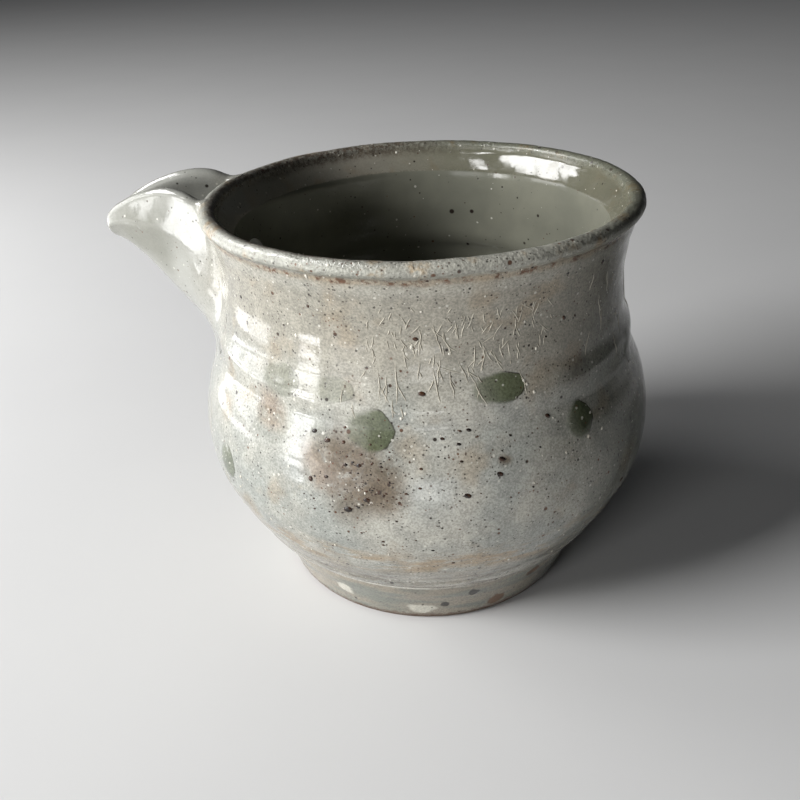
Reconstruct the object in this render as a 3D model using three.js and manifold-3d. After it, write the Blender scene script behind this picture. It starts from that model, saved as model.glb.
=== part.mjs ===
// Spouted bowl: a small wheel-thrown stoneware pourer, as the clay pieces that a potter joins before firing.
// Millimetres, +Z up. The pot stands on the plane Z = 0 and its spout points along -X.
// The origin is the middle of the pot's footprint: halfway between the spout's tip and the belly opposite.
import * as THREE from 'three';
import { mergeVertices } from 'three/addons/utils/BufferGeometryUtils.js';
import Module from 'manifold-3d';

// Thrown body
const potHeight = 86; // table to the rim's crest
const bellyRadius = 50;
const bellyHeight = 37; // table to the widest ring
const neckRadius = 41.9;
const neckDrop = 13.5; // rim's crest down to the neck
const rimRadius = 45; // outside of the rolled rim
const rimRollRadius = 2; // section of the rolled rim
const wall = 4.1; // thickness of the thrown wall
const lipDrop = 6.6; // rim's crest down to the crisp edge inside the flared lip
const floorThickness = 6.5;

// Foot ring
const footRadius = 33.7; // outside, at the table
const footFlare = 5; // how much wider the foot ring is at its top
const footHeight = 13;
const footWall = 5.4; // width of the ring at the table
const footEdge = 0.8; // rounding of the ring's two lower edges
const recessDepth = 8; // hollow under the floor
const shoulderStep = 0.5; // the belly stands this proud of the foot ring

// Spout
const spoutReach = 69; // potter's axis to the tip
const spoutWidth = 19.6; // between the side walls' crests, at the rim
const spoutTipWidth = 8; // the same, at the tip
const spoutWall = 3.2; // side walls
const spoutFloor = 3.8; // under the trough, at the body
const spoutTipWall = 2.3; // under the pouring edge
const spoutTipDepth = 3.8; // pouring edge, from the walls' crests to the underside
const crestRise = 1.6; // the side walls stand this far over the rim, a little outside it
const tipDrop = 6.6; // rim's crest down to the crests at the tip
const keelDrop = 34; // rim's crest down to where the underside meets the body

// Pour hole through the thrown wall, under the rim
const holeWidth = 12;
const holeDrop = 13; // rim's crest down to the top of the hole
const holeMargin = 2.5; // the hole's bottom over the trough's floor

// Coil of soft clay worked into the corner between the spout and the body
const coilOnBody = 4.5; // how far it spreads over the body
const coilOnSpout = 4; // how far it runs up the spout
const coilEdge = 0.5; // thickness left at its two edges

const seam = 0.3; // clearance between pieces that meet
const turns = 48; // facets round the pot
const weldTolerance = 1e-4;

const glazeColour = 0xb9b8aa;
const footColour = 0x9a9486;

// Heights that follow from the sizes above
const neckHeight = potHeight - neckDrop;
const rollHeight = potHeight - rimRollRadius;
const rollCentre = rimRadius - rimRollRadius;
const footTopRadius = footRadius + footFlare;
const jointRadius = footTopRadius + shoulderStep;
const bossRadius = footRadius - footWall + 1;
const floorTop = recessDepth + floorThickness;
const axisX = (spoutReach - bellyRadius) / 2;

const lerp = THREE.MathUtils.lerp;
const at = (x, y) => new THREE.Vector2(x, y);
const wasm = await Module();
wasm.setup();

/** Outside radius of the thrown body at a height, from the foot ring's top to the rolled rim. */
function outerRadius(z) {
  if (z <= bellyHeight) {
    const below = Math.min(1, (bellyHeight - z) / (bellyHeight - footHeight));
    return bellyRadius - (bellyRadius - jointRadius) * below ** 1.7;
  }
  if (z <= neckHeight) {
    const up = (z - bellyHeight) / (neckHeight - bellyHeight);
    return lerp(neckRadius, bellyRadius, 0.5 + 0.5 * Math.cos(Math.PI * up));
  }
  const flare = (z - neckHeight) / (rollHeight - neckHeight);
  return neckRadius + (rollCentre + 0.4 * rimRollRadius - neckRadius) * flare ** 1.8;
}

/** Inside radius of the thrown wall at a height: one wall's thickness in, square to the outside. */
function innerRadius(z) {
  const step = 0.5;
  const slope = (outerRadius(z + step) - outerRadius(z - step)) / (2 * step);
  return outerRadius(z) - wall * Math.sqrt(1 + slope * slope);
}

/** Evenly spaced values from first to last, both included. */
function spread(first, last, count) {
  return Array.from({ length: count }, (_, i) => lerp(first, last, i / (count - 1)));
}

/** Points on an arc of the profile plane, angles in degrees from the outward direction. */
function arc(centre, height, radius, from, to, count) {
  return spread(from, to, count).map((degrees) => {
    const a = THREE.MathUtils.degToRad(degrees);
    return at(centre + radius * Math.cos(a), height + radius * Math.sin(a));
  });
}

/** Joins the shared vertices of a geometry and drops the triangles that a pole leaves without area. */
function weld(geometry) {
  geometry.deleteAttribute('normal');
  geometry.deleteAttribute('uv');
  const merged = mergeVertices(geometry, weldTolerance);
  const index = merged.getIndex().array;
  const kept = [];
  for (let i = 0; i < index.length; i += 3) {
    const [a, b, c] = [index[i], index[i + 1], index[i + 2]];
    if (a !== b && b !== c && a !== c) kept.push(a, b, c);
  }
  merged.setIndex(kept);
  return merged;
}

/** Solid of revolution round the Z axis from a profile of (radius, height) points. */
function turned(profile) {
  const geometry = new THREE.LatheGeometry(profile, turns);
  geometry.rotateX(Math.PI / 2);
  return weld(geometry);
}

/** Solid through rings with the same number of points; outline is one ring's flat shape, for the ends. */
function lofted(rings, outline) {
  const count = outline.length;
  const index = [];
  for (let r = 0; r + 1 < rings.length; r += 1) {
    for (let k = 0; k < count; k += 1) {
      const [a, b] = [r * count + k, r * count + ((k + 1) % count)];
      index.push(a, b, b + count, a, b + count, a + count);
    }
  }
  const last = (rings.length - 1) * count;
  const turn = Math.sign(THREE.ShapeUtils.area(outline));
  for (const [a, b, c] of THREE.ShapeUtils.triangulateShape(outline, [])) {
    const same = Math.sign(THREE.ShapeUtils.area([outline[a], outline[b], outline[c]])) === turn;
    const [p, q, r] = same ? [a, b, c] : [a, c, b];
    index.push(p, r, q, last + p, last + q, last + r);
  }
  const points = rings.flat();
  if (signedVolume(points, index) < 0) index.reverse();
  const geometry = new THREE.BufferGeometry();
  geometry.setAttribute('position', new THREE.Float32BufferAttribute(points.flatMap((p) => p.toArray()), 3));
  geometry.setIndex(index);
  return geometry;
}

/** Volume inside a closed set of triangles, below zero where they face inwards. */
function signedVolume(points, index) {
  let six = 0;
  for (let i = 0; i < index.length; i += 3) {
    const [a, b, c] = [points[index[i]], points[index[i + 1]], points[index[i + 2]]];
    six += a.dot(new THREE.Vector3().crossVectors(b, c));
  }
  return six / 6;
}

/** Closed solid that can be cut, from a welded geometry. */
function solid(geometry) {
  const vertProperties = new Float32Array(geometry.getAttribute('position').array);
  const triVerts = new Uint32Array(geometry.getIndex().array);
  return new wasm.Manifold(new wasm.Mesh({ numProp: 3, vertProperties, triVerts }));
}

/** Geometry of a cut solid. */
function geometryOf(cut) {
  const mesh = cut.getMesh();
  const geometry = new THREE.BufferGeometry();
  geometry.setAttribute('position', new THREE.Float32BufferAttribute(mesh.vertProperties, 3));
  geometry.setIndex(Array.from(mesh.triVerts));
  geometry.computeVertexNormals();
  return geometry;
}

/** The thrown body's outside from the foot ring's top to under the rolled rim, grown by an amount. */
function outsideProfile(grow = 0) {
  const heights = [
    ...spread(footHeight, bellyHeight, 9),
    ...spread(bellyHeight, neckHeight, 13).slice(1),
    ...spread(neckHeight, rollHeight - rimRollRadius, 5).slice(1),
  ];
  return heights.map((z) => at(outerRadius(z) + grow, z));
}

// The profile runs up the outside, over the rim and down the inside to the middle of the floor.
function bodyProfile() {
  const boss = bossRadius - seam;
  const underside = [at(0, recessDepth), at(boss, recessDepth), at(boss, footHeight)];
  const roll = arc(rollCentre, rollHeight, rimRollRadius, -35, 180, 9);
  const turnIn = footHeight + wall + floorThickness; // the wall rounds into the floor below this height
  const inside = spread(potHeight - lipDrop, turnIn, 16).map((z) => at(innerRadius(z), z));
  const floorRadius = innerRadius(turnIn);
  const floor = [0.94, 0.84, 0.7, 0.5].map((share) =>
    at(floorRadius * share, floorTop + (turnIn - floorTop) * share ** 6));
  return [...underside, ...outsideProfile(), ...roll, ...inside, ...floor, at(0, floorTop)];
}

/** Everything inside the body's outside face, grown by the seam and carried up past the rim. */
function bodyEnvelope() {
  const top = potHeight + spoutWidth;
  const roll = arc(rollCentre + seam, rollHeight, rimRollRadius, -35, 0, 3);
  return [at(0, footHeight), ...outsideProfile(seam), ...roll, at(rimRadius + seam, top), at(0, top)];
}

// The ring stands on its flat lower face; its inside steps back at the recess to take the body's boss.
function footProfile() {
  const inside = footRadius - footWall;
  const outside = spread(footEdge, footHeight - seam, 6)
    .map((z) => at(lerp(footRadius, footTopRadius, z / footHeight), z));
  return [
    at(inside, footEdge), at(inside + footEdge, 0), at(footRadius - footEdge, 0), ...outside,
    at(bossRadius, footHeight - seam), at(bossRadius, recessDepth), at(inside, footEdge),
  ];
}

// Heights along the spout are curves over the distance from the potter's axis.
function curveOver(points) {
  const curve = new THREE.SplineCurve(points.map(([x, z]) => new THREE.Vector2(x, z)));
  const table = curve.getPoints(64);
  return (x) => {
    const i = Math.max(1, table.findIndex((p) => p.x >= x));
    const [a, b] = [table[i - 1], table[i]];
    return lerp(a.y, b.y, (x - a.x) / (b.x - a.x));
  };
}

const spoutRoot = neckRadius - wall; // the spout's blank starts inside the wall and is trimmed to it
const spoutLength = spoutReach - rimRadius;
const alongSpout = (share) => rimRadius + spoutLength * share;
const tipKeel = potHeight - tipDrop - spoutTipDepth;

const crestHeight = curveOver([
  [spoutRoot, potHeight - 0.5 * crestRise],
  [rimRadius, potHeight],
  [alongSpout(0.2), potHeight + crestRise],
  [alongSpout(0.5), potHeight + 0.3 * crestRise],
  [alongSpout(0.8), potHeight - 0.4 * tipDrop],
  [spoutReach + seam, potHeight - tipDrop],
]);

const keelHeight = curveOver([
  [spoutRoot, lerp(potHeight - keelDrop, tipKeel, -0.42)],
  [rimRadius + 2, potHeight - keelDrop],
  [alongSpout(0.45), lerp(potHeight - keelDrop, tipKeel, 0.5)],
  [alongSpout(0.78), lerp(potHeight - keelDrop, tipKeel, 0.88)],
  [spoutReach + seam, tipKeel],
]);

function crestHalfWidth(x) {
  return lerp(spoutWidth, spoutTipWidth, (x - rimRadius) / spoutLength) / 2;
}

/** Height of the trough's floor: over the underside by the floor's thickness, square to the slope. */
function troughFloor(x) {
  const step = 0.5;
  const near = Math.min(x, spoutReach - step);
  const slope = (keelHeight(near + step) - keelHeight(near - step)) / (2 * step);
  const share = THREE.MathUtils.clamp((x - rimRadius) / spoutLength, 0, 1);
  return keelHeight(x) + lerp(spoutFloor, spoutTipWall, share) * Math.sqrt(1 + slope * slope);
}

/** Points of a half-oval in the spout's (y, z) plane; 0 and 180 degrees are the side walls' crests. */
function halfOval(halfWidth, top, bottom, angles) {
  return angles.map((degrees) => {
    const a = THREE.MathUtils.degToRad(degrees);
    return at(halfWidth * Math.cos(a), top - (top - bottom) * Math.sin(a) ** 0.9);
  });
}

/** The trough's section at a distance from the axis. */
function troughSection(x) {
  const half = crestHalfWidth(x);
  const thick = Math.min(spoutWall, 0.9 * half) / 2;
  const top = crestHeight(x) - thick;
  const outer = halfOval(half + thick, top, keelHeight(x), spread(0, 180, 17));
  const inner = halfOval(half - thick, top, Math.min(troughFloor(x), top - 0.5), spread(180, 0, 17));
  return [...outer, at(-half, top + thick), ...inner, at(half, top + thick)];
}

/** The same section without its channel, swollen by the seam: it trims the coil. */
function swollenSection(x) {
  const half = crestHalfWidth(x) + spoutWall / 2 + seam;
  const top = crestHeight(x) - spoutWall / 2;
  const crest = top + spoutWall / 2 + seam;
  const round = halfOval(half, top, keelHeight(x) - seam, spread(0, 180, 17));
  return [at(half, crest), ...round, at(-half, crest)];
}

function spoutSolid(section) {
  const stations = [...spread(spoutRoot, alongSpout(0.9), 13), alongSpout(0.96), spoutReach];
  const outlines = stations.map(section);
  const rings = outlines.map((outline, i) => outline.map((p) => new THREE.Vector3(-stations[i], p.x, p.y)));
  return solid(lofted(rings, outlines[0]));
}

/** The hole's cutter: as deep as the trough where it meets the wall, less a margin, and arched at its top. */
function pourHole() {
  const half = holeWidth / 2;
  const top = potHeight - holeDrop - half;
  const bottom = troughFloor(rimRadius) + holeMargin;
  const lower = halfOval(half, top, bottom, spread(180, 0, 13));
  const arch = spread(0, 180, 9).slice(1, -1).map((degrees) => {
    const a = THREE.MathUtils.degToRad(degrees);
    return at(half * Math.cos(a), top + half * Math.sin(a));
  });
  const outline = [...lower, ...arch];
  const ends = [neckRadius - 3 * wall, bellyRadius + wall];
  return solid(lofted(ends.map((x) => outline.map((p) => new THREE.Vector3(-x, p.x, p.y))), outline));
}

/** Where the spout's outside, at one angle round its section, comes down onto the body's outside. */
function seamPoint(angle) {
  const outside = (x) => {
    const [halfWidth, top] = [crestHalfWidth(x) + spoutWall / 2, crestHeight(x) - spoutWall / 2];
    const [p] = halfOval(halfWidth, top, keelHeight(x), [angle]);
    return new THREE.Vector3(-x, p.x, p.y);
  };
  let [low, high] = [spoutRoot, spoutReach];
  for (let i = 0; i < 40; i += 1) {
    const middle = (low + high) / 2;
    const p = outside(middle);
    if (Math.hypot(p.x, p.y) < outerRadius(Math.min(p.z, rollHeight))) low = middle;
    else high = middle;
  }
  const step = 0.4;
  return { point: outside(high), upSpout: outside(high + step).sub(outside(high)).normalize() };
}

/** A point moved along several directions, each given with its distance. */
function shifted(point, ...moves) {
  return moves.reduce((p, [direction, distance]) => p.addScaledVector(direction, distance), point.clone());
}

/** The coil follows the seam round the underside, from the rim on one side to the rim on the other. */
function seamCoil() {
  const underRim = 4; // degrees round the spout's section, from a side wall's crest to the coil's end
  const sunk = 1.6; // how far the blank reaches into both pieces before it is trimmed to them
  const places = spread(underRim, 180 - underRim, 25).map(seamPoint);
  const rings = places.map(({ point, upSpout }, i) => {
    const [before, after] = [places[Math.max(i - 1, 0)], places[Math.min(i + 1, places.length - 1)]];
    const along = after.point.clone().sub(before.point).normalize();
    const slope = outerRadius(point.z + 0.5) - outerRadius(point.z - 0.5);
    const bodyOut = new THREE.Vector3(point.x, point.y, -slope * Math.hypot(point.x, point.y)).normalize();
    const onBody = new THREE.Vector3().crossVectors(along, bodyOut).normalize();
    const spoutOut = new THREE.Vector3().crossVectors(upSpout, along).normalize();
    if (spoutOut.dot(onBody) < 0) spoutOut.negate();
    return [
      shifted(point, [onBody, coilOnBody], [bodyOut, coilEdge]),
      shifted(point, [onBody, coilOnBody], [bodyOut, -sunk]),
      shifted(point, [bodyOut, -sunk], [spoutOut, -sunk]),
      shifted(point, [upSpout, coilOnSpout], [spoutOut, -sunk]),
      shifted(point, [upSpout, coilOnSpout], [spoutOut, coilEdge]),
    ];
  });
  const section = [
    at(coilOnBody, coilEdge), at(coilOnBody, -sunk), at(-sunk, -sunk),
    at(-sunk, coilOnSpout), at(coilEdge, coilOnSpout),
  ];
  return solid(lofted(rings, section));
}

const envelope = solid(turned(bodyEnvelope()));
const shapes = {
  thrown_body: geometryOf(solid(turned(bodyProfile())).subtract(pourHole())),
  foot_ring: turned(footProfile()),
  spout: geometryOf(spoutSolid(troughSection).subtract(envelope)),
  seam_coil: geometryOf(seamCoil().subtract(envelope).subtract(spoutSolid(swollenSection))),
};

const pot = new THREE.Group();
pot.position.x = axisX;
for (const [name, geometry] of Object.entries(shapes)) {
  const color = name === 'foot_ring' ? footColour : glazeColour;
  const material = new THREE.MeshStandardMaterial({ color, roughness: 0.3, metalness: 0 });
  const mesh = new THREE.Mesh(geometry, material);
  mesh.name = name;
  pot.add(mesh);
}

const model = new THREE.Group();
model.add(pot);
export default model;
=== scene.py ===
"""Spouted bowl: the looks of a small wheel-thrown stoneware pourer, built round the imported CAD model.

Meshes are in metres, +Z up. The pot stands on the plane Z = 0 and its spout points along -X.
Sizes in the classes are millimetres. Places on the wall are given as a potter would find them:
degrees round the potter's axis, counted from +X towards +Y, and the height over the table.
"""
import logging
import math
from dataclasses import dataclass, field
from enum import Enum
from typing import Any, Iterable, Sequence

import bmesh
import bpy
import numpy as np
from mathutils import Matrix, Vector
from mathutils.bvhtree import BVHTree
from mathutils.noise import noise_vector, seed_set


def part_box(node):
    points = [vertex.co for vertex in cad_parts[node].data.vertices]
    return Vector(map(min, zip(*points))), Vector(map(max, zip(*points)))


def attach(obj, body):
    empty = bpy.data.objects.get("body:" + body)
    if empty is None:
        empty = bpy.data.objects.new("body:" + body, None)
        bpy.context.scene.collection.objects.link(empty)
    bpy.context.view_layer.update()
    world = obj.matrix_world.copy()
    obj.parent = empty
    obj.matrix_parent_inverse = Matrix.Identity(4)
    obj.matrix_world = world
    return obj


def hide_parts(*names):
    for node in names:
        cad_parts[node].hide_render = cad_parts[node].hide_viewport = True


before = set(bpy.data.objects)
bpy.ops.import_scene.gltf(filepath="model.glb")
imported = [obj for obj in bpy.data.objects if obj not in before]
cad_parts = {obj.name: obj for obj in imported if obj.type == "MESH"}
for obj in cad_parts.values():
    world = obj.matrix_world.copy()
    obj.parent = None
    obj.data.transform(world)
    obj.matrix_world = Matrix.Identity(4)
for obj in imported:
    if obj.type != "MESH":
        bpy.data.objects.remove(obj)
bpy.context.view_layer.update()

log = logging.getLogger("spouted_bowl")

MM = 0.001
FULL_TURN = 2.0 * math.pi
NOISE_SEED = 11
GLAZED_BELOW = 0.5
BARE_FROM = 1.5

Colour = tuple[float, float, float]
Triple = tuple[float, float, float]
Material = bpy.types.Material
Node = bpy.types.Node
NodeTree = bpy.types.NodeTree
Piece = bpy.types.Object
Socket = bpy.types.NodeSocket


class Skin(Enum):
    """What covers a part of the thrown clay; the value is written to the mesh as the attribute `skin`."""

    OUTSIDE = 0.0
    INSIDE = 1.0
    BARE = 2.0


@dataclass(frozen=True)
class PotFrame:
    """Where the CAD model puts the pot.

    Attributes:
        axis_x: the potter's axis, along X, in mm
        belly: largest radius that the pot may have, in mm
    """

    axis_x: float
    belly: float

    @classmethod
    def read(cls) -> "PotFrame":
        """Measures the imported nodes.

        Returns:
            The frame's sizes
        """
        foot_low, foot_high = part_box("foot_ring")
        body_low, body_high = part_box("thrown_body")
        axis = (foot_low.x + foot_high.x) / 2
        return cls(axis / MM, (body_high.y - body_low.y) / 2 / MM)

    def place(self, azimuth: float, radius: float, height: float) -> Vector:
        """A point in metres, from its degrees round the axis from +X, its radius and its height in mm."""
        a = math.radians(azimuth)
        return Vector((self.axis_x + radius * math.cos(a), radius * math.sin(a), height)) * MM


@dataclass(frozen=True)
class SmoothCurve:
    """A smooth curve through knots, each a position and a value.

    Attributes:
        knots: the knots in order of position
    """

    knots: tuple[tuple[float, float], ...]

    def at(self, position: Any) -> np.ndarray:
        """Reads the curve.

        Args:
            position: one position or an array of them

        Returns:
            The values, held at the end knots outside their range
        """
        x, y = np.array(self.knots, float).T
        lean = np.gradient(y, x)
        p = np.clip(position, x[0], x[-1])
        i = np.clip(np.searchsorted(x, p, side="right") - 1, 0, len(x) - 2)
        span = x[i + 1] - x[i]
        t = (p - x[i]) / span
        rise = (2 * t**3 - 3 * t**2 + 1) * y[i] + (3 * t**2 - 2 * t**3) * y[i + 1]
        bend = (t**3 - 2 * t**2 + t) * lean[i] + (t**3 - t**2) * lean[i + 1]
        return rise + bend * span

    def slope(self, position: Any) -> np.ndarray:
        """Slope of the curve at one position or an array of them."""
        step = 0.05
        return (self.at(np.add(position, step)) - self.at(np.subtract(position, step))) / (2 * step)


def wall_place(wall: SmoothCurve, azimuth: float, height: float) -> Triple:
    """A place on a turned wall, in mm about the axis, from its degrees round it and its height in mm."""
    a, radius = math.radians(azimuth), float(wall.at(height))
    return radius * math.cos(a), radius * math.sin(a), height


def eased(share: Any) -> Any:
    """A share from 0 to 1 that starts and ends gently."""
    return share * share * (3 - 2 * share)


def tube_faces(rings: int, count: int, closed: bool = False) -> list[tuple[int, ...]]:
    """Faces of a tube made of rings of points that follow each other.

    Args:
        rings: how many rings there are
        count: points in each of them
        closed: whether the last ring joins the first

    Returns:
        Four point numbers a face
    """
    faces = []
    total = rings * count
    for ring in range(rings if closed else rings - 1):
        for k in range(count):
            a, b = ring * count + k, ring * count + (k + 1) % count
            faces.append((a, b, (b + count) % total, (a + count) % total))
    return faces


class NodeSheet:
    """Writes a node tree one node a call."""

    def __init__(self, tree: NodeTree) -> None:
        """Takes the tree to write on."""
        self.tree = tree

    def feed(self, socket: Socket, value: Any) -> None:
        """Links a socket, or sets its own value.

        Args:
            socket: the input
            value: an output socket, or a plain value
        """
        if isinstance(value, Socket):
            self.tree.links.new(value, socket)
        elif socket.type == "RGBA" and len(value) == 3:
            socket.default_value = (*value, 1.0)
        else:
            socket.default_value = value

    def add(self, kind: str, inputs: dict | None = None, **settings: Any) -> Node:
        """Adds a node.

        Args:
            kind: the node's type
            inputs: values or output sockets, by the input's name or number
            settings: the node's own properties

        Returns:
            The node
        """
        node = self.tree.nodes.new(kind)
        for name, value in settings.items():
            setattr(node, name, value)
        for key, value in (inputs or {}).items():
            self.feed(node.inputs[key], value)
        return node

    def math(self, operation: str, *values: Any) -> Socket:
        """A sum on numbers, from a Math node's operation and its operands."""
        return self.first("ShaderNodeMath", dict(enumerate(values)), operation=operation)

    def vector(self, operation: str, *values: Any) -> Socket:
        """A sum on vectors.

        Args:
            operation: Vector Math node's operation
            values: its operands

        Returns:
            The result's socket, a number for a length, a distance or a dot product
        """
        keys = (0, 3) if operation == "SCALE" else (0, 1, 2)
        node = self.add("ShaderNodeVectorMath", dict(zip(keys, values)), operation=operation)
        single = operation in ("LENGTH", "DISTANCE", "DOT_PRODUCT")
        return node.outputs["Value" if single else "Vector"]

    def times(self, first: Any, second: Any) -> Socket:
        """The product of two numbers."""
        return self.math("MULTIPLY", first, second)

    def plus(self, first: Any, second: Any) -> Socket:
        """The sum of two numbers."""
        return self.math("ADD", first, second)

    def most(self, first: Any, second: Any) -> Socket:
        """The larger of two numbers."""
        return self.math("MAXIMUM", first, second)

    def first(self, kind: str, inputs: dict | None = None, **settings: Any) -> Socket:
        """Adds a node, as add() does, and gives its first output."""
        return self.add(kind, inputs, **settings).outputs[0]

    def stored(self, name: str, kind: str = "FLOAT") -> Socket:
        """A value that the mesh keeps with each point, by the attribute's name and kind."""
        return self.first("GeometryNodeInputNamedAttribute", {"Name": name}, data_type=kind)

    def whole(self, operation: str, *values: Any) -> Socket:
        """A sum on whole numbers, as math() for numbers."""
        return self.first("FunctionNodeIntegerMath", dict(enumerate(values)), operation=operation)

    def join(self, x: Any = 0.0, y: Any = 0.0, z: Any = 0.0) -> Socket:
        """A vector from its three parts."""
        return self.first("ShaderNodeCombineXYZ", {0: x, 1: y, 2: z})

    def parts(self, vector: Socket) -> Sequence[Socket]:
        """The three parts of a vector."""
        return self.add("ShaderNodeSeparateXYZ", {0: vector}).outputs

    def ramp(self, value: Any, low: Any, high: Any, start: Any = 0.0, end: Any = 1.0) -> Socket:
        """A smooth step from start to end while a value goes from low to high.

        Args:
            value: what is read
            low: value that gives start
            high: value that gives end, which may be under low
            start: first result
            end: last result

        Returns:
            The result's socket
        """
        inputs = {"Value": value, "From Min": low, "From Max": high, "To Min": start, "To Max": end}
        return self.first("ShaderNodeMapRange", inputs, interpolation_type="SMOOTHSTEP")

    def oval(self, gap: Socket, across: float, tall: float) -> Socket:
        """How far out a gap reaches in an upright oval of a width and a height, 1 on the oval's edge."""
        return self.vector("LENGTH", self.vector("MULTIPLY", gap, (2 / across, 2 / across, 2 / tall)))

    def band(self, value: Any, low: float, high: float, edge: float) -> Socket:
        """1 between two values and 0 outside them, with soft edges of a given width."""
        rise = self.ramp(value, low - edge, low + edge)
        return self.times(rise, self.ramp(value, high + edge, high - edge))

    def mix(self, share: Any, first: Any, second: Any, how: str = "MIX") -> Socket:
        """Mixes two colours.

        Args:
            share: how much of the second
            first: colour under
            second: colour over
            how: the Mix node's blend

        Returns:
            The mixed colour's socket
        """
        node = self.add("ShaderNodeMix", data_type="RGBA", blend_type=how)
        for number, value in ((0, share), (6, first), (7, second)):
            self.feed(node.inputs[number], value)
        return node.outputs[2]

    def shaded(self, ground: Any, shade: Socket, share: Any = 1.0) -> Socket:
        """A colour multiplied by a shade, of which a share from 0 to 1 shows."""
        return self.mix(share, ground, self.join(shade, shade, shade), "MULTIPLY")

    def noise(self, vector: Any, size: float, detail: float = 2.0, rough: float = 0.5) -> Socket:
        """Noise from 0 to 1 round 0.5, in patches of about a size in mm, with detail finer layers."""
        inputs = {"Vector": vector, "Scale": 1.0 / size, "Detail": detail, "Roughness": rough}
        return self.first("ShaderNodeTexNoise", inputs)

    def swing(self, vector: Any, size: float, height: Any, detail: float = 2.0) -> Socket:
        """Noise between minus and plus a height."""
        centred = self.math("MULTIPLY_ADD", self.noise(vector, size, detail), 2.0, -1.0)
        return self.times(centred, height)


class NodeRecipe:
    """A Geometry Nodes tree with named inputs, and the mesh that it makes."""

    def __init__(self, name: str) -> None:
        """Opens an empty tree with a geometry input and output."""
        self.tree = bpy.data.node_groups.new(name, "GeometryNodeTree")
        self.values: dict[str, Any] = {}
        for way in ("INPUT", "OUTPUT"):
            self.tree.interface.new_socket("Geometry", in_out=way, socket_type="NodeSocketGeometry")
        self.sheet = NodeSheet(self.tree)
        self.entry = self.sheet.add("NodeGroupInput")
        self.geometry = self.entry.outputs["Geometry"]

    def given(self, name: str, value: Any, kind: str = "Float") -> Socket:
        """Adds a named input.

        Args:
            name: the input's name
            value: what the modifier sets it to
            kind: the socket's kind, such as Float, Int, Object or Material

        Returns:
            The input's socket inside the tree
        """
        item = self.tree.interface.new_socket(name, in_out="INPUT", socket_type="NodeSocket" + kind)
        self.values[item.identifier] = value
        return self.entry.outputs[name]

    def step(self, kind: str, inputs: dict | None = None, **settings: Any) -> Node:
        """Adds a node that takes the geometry so far and hands it on.

        Args:
            kind: the node's type
            inputs: its other inputs
            settings: the node's own properties

        Returns:
            The node
        """
        node = self.sheet.add(kind, inputs, **settings)
        self.sheet.feed(node.inputs[0], self.geometry)
        self.geometry = node.outputs[0]
        return node

    def store(self, name: str, value: Socket, kind: str = "FLOAT") -> None:
        """Keeps a value with each point, as a named attribute of a kind."""
        self.step("GeometryNodeStoreNamedAttribute", {"Name": name, "Value": value}, data_type=kind)

    def move(self, offset: Socket) -> None:
        """Moves the points by an offset in mm."""
        self.step("GeometryNodeSetPosition", {"Offset": self.sheet.vector("SCALE", offset, MM)})

    def smooth(self) -> None:
        """Smooth faces, and instances made real."""
        self.step("GeometryNodeSetShadeSmooth")
        self.step("GeometryNodeRealizeInstances")

    def paint(self, name: str, material: Material, chosen: Any = True) -> None:
        """Gives the chosen faces a material, which a named input holds."""
        socket = self.given(name, material, "Material")
        self.step("GeometryNodeSetMaterial", {"Material": socket, "Selection": chosen})

    def make(self, obj: Piece) -> Piece:
        """Runs the tree on an object and leaves its result there as a plain mesh.

        Args:
            obj: holds the mesh that the tree starts from

        Returns:
            The same object
        """
        end = self.sheet.add("NodeGroupOutput")
        self.sheet.feed(end.inputs[0], self.geometry)
        modifier = obj.modifiers.new(self.tree.name, "NODES")
        modifier.node_group = self.tree
        for identifier, value in self.values.items():
            modifier[identifier] = value
        graph = bpy.context.evaluated_depsgraph_get()
        made = bpy.data.meshes.new_from_object(obj.evaluated_get(graph), depsgraph=graph)
        obj.modifiers.remove(modifier)
        obj.data = made
        made.name = obj.name
        return obj


def new_object(name: str, points: Any, edges: Any = (), faces: Any = ()) -> Piece:
    """Puts a mesh in the scene.

    Args:
        name: the object's name
        points: its points, in metres
        edges: pairs of point numbers
        faces: lists of point numbers

    Returns:
        The object, at the origin
    """
    mesh = bpy.data.meshes.new(name)
    mesh.from_pydata([tuple(p) for p in points], list(edges), list(faces))
    mesh.update()
    obj = bpy.data.objects.new(name, mesh)
    bpy.context.scene.collection.objects.link(obj)
    return obj


def write_attribute(obj: Piece, name: str, values: Iterable, kind: str = "FLOAT") -> None:
    """Stores one value a point on a mesh.

    Args:
        obj: holds the mesh
        name: the attribute's name
        values: one number or vector a point
        kind: FLOAT or FLOAT_VECTOR
    """
    attribute = obj.data.attributes.new(name, kind, "POINT")
    key = "vector" if kind == "FLOAT_VECTOR" else "value"
    attribute.data.foreach_set(key, np.array(list(values), np.float32).ravel())


def settle(obj: Piece, slot: str, *nodes: str) -> Piece:
    """Makes an object a piece of the bowl and reports it.

    Args:
        obj: the finished piece
        slot: the record's material slot; not used
        nodes: the CAD nodes that it stands for

    Returns:
        The same object
    """
    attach(obj, "root")
    if nodes:
        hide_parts(*nodes)
    obj.data.calc_loop_triangles()
    log.info("%s: %d points, %d triangles", obj.name, len(obj.data.vertices), len(obj.data.loop_triangles))
    return obj


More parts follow.
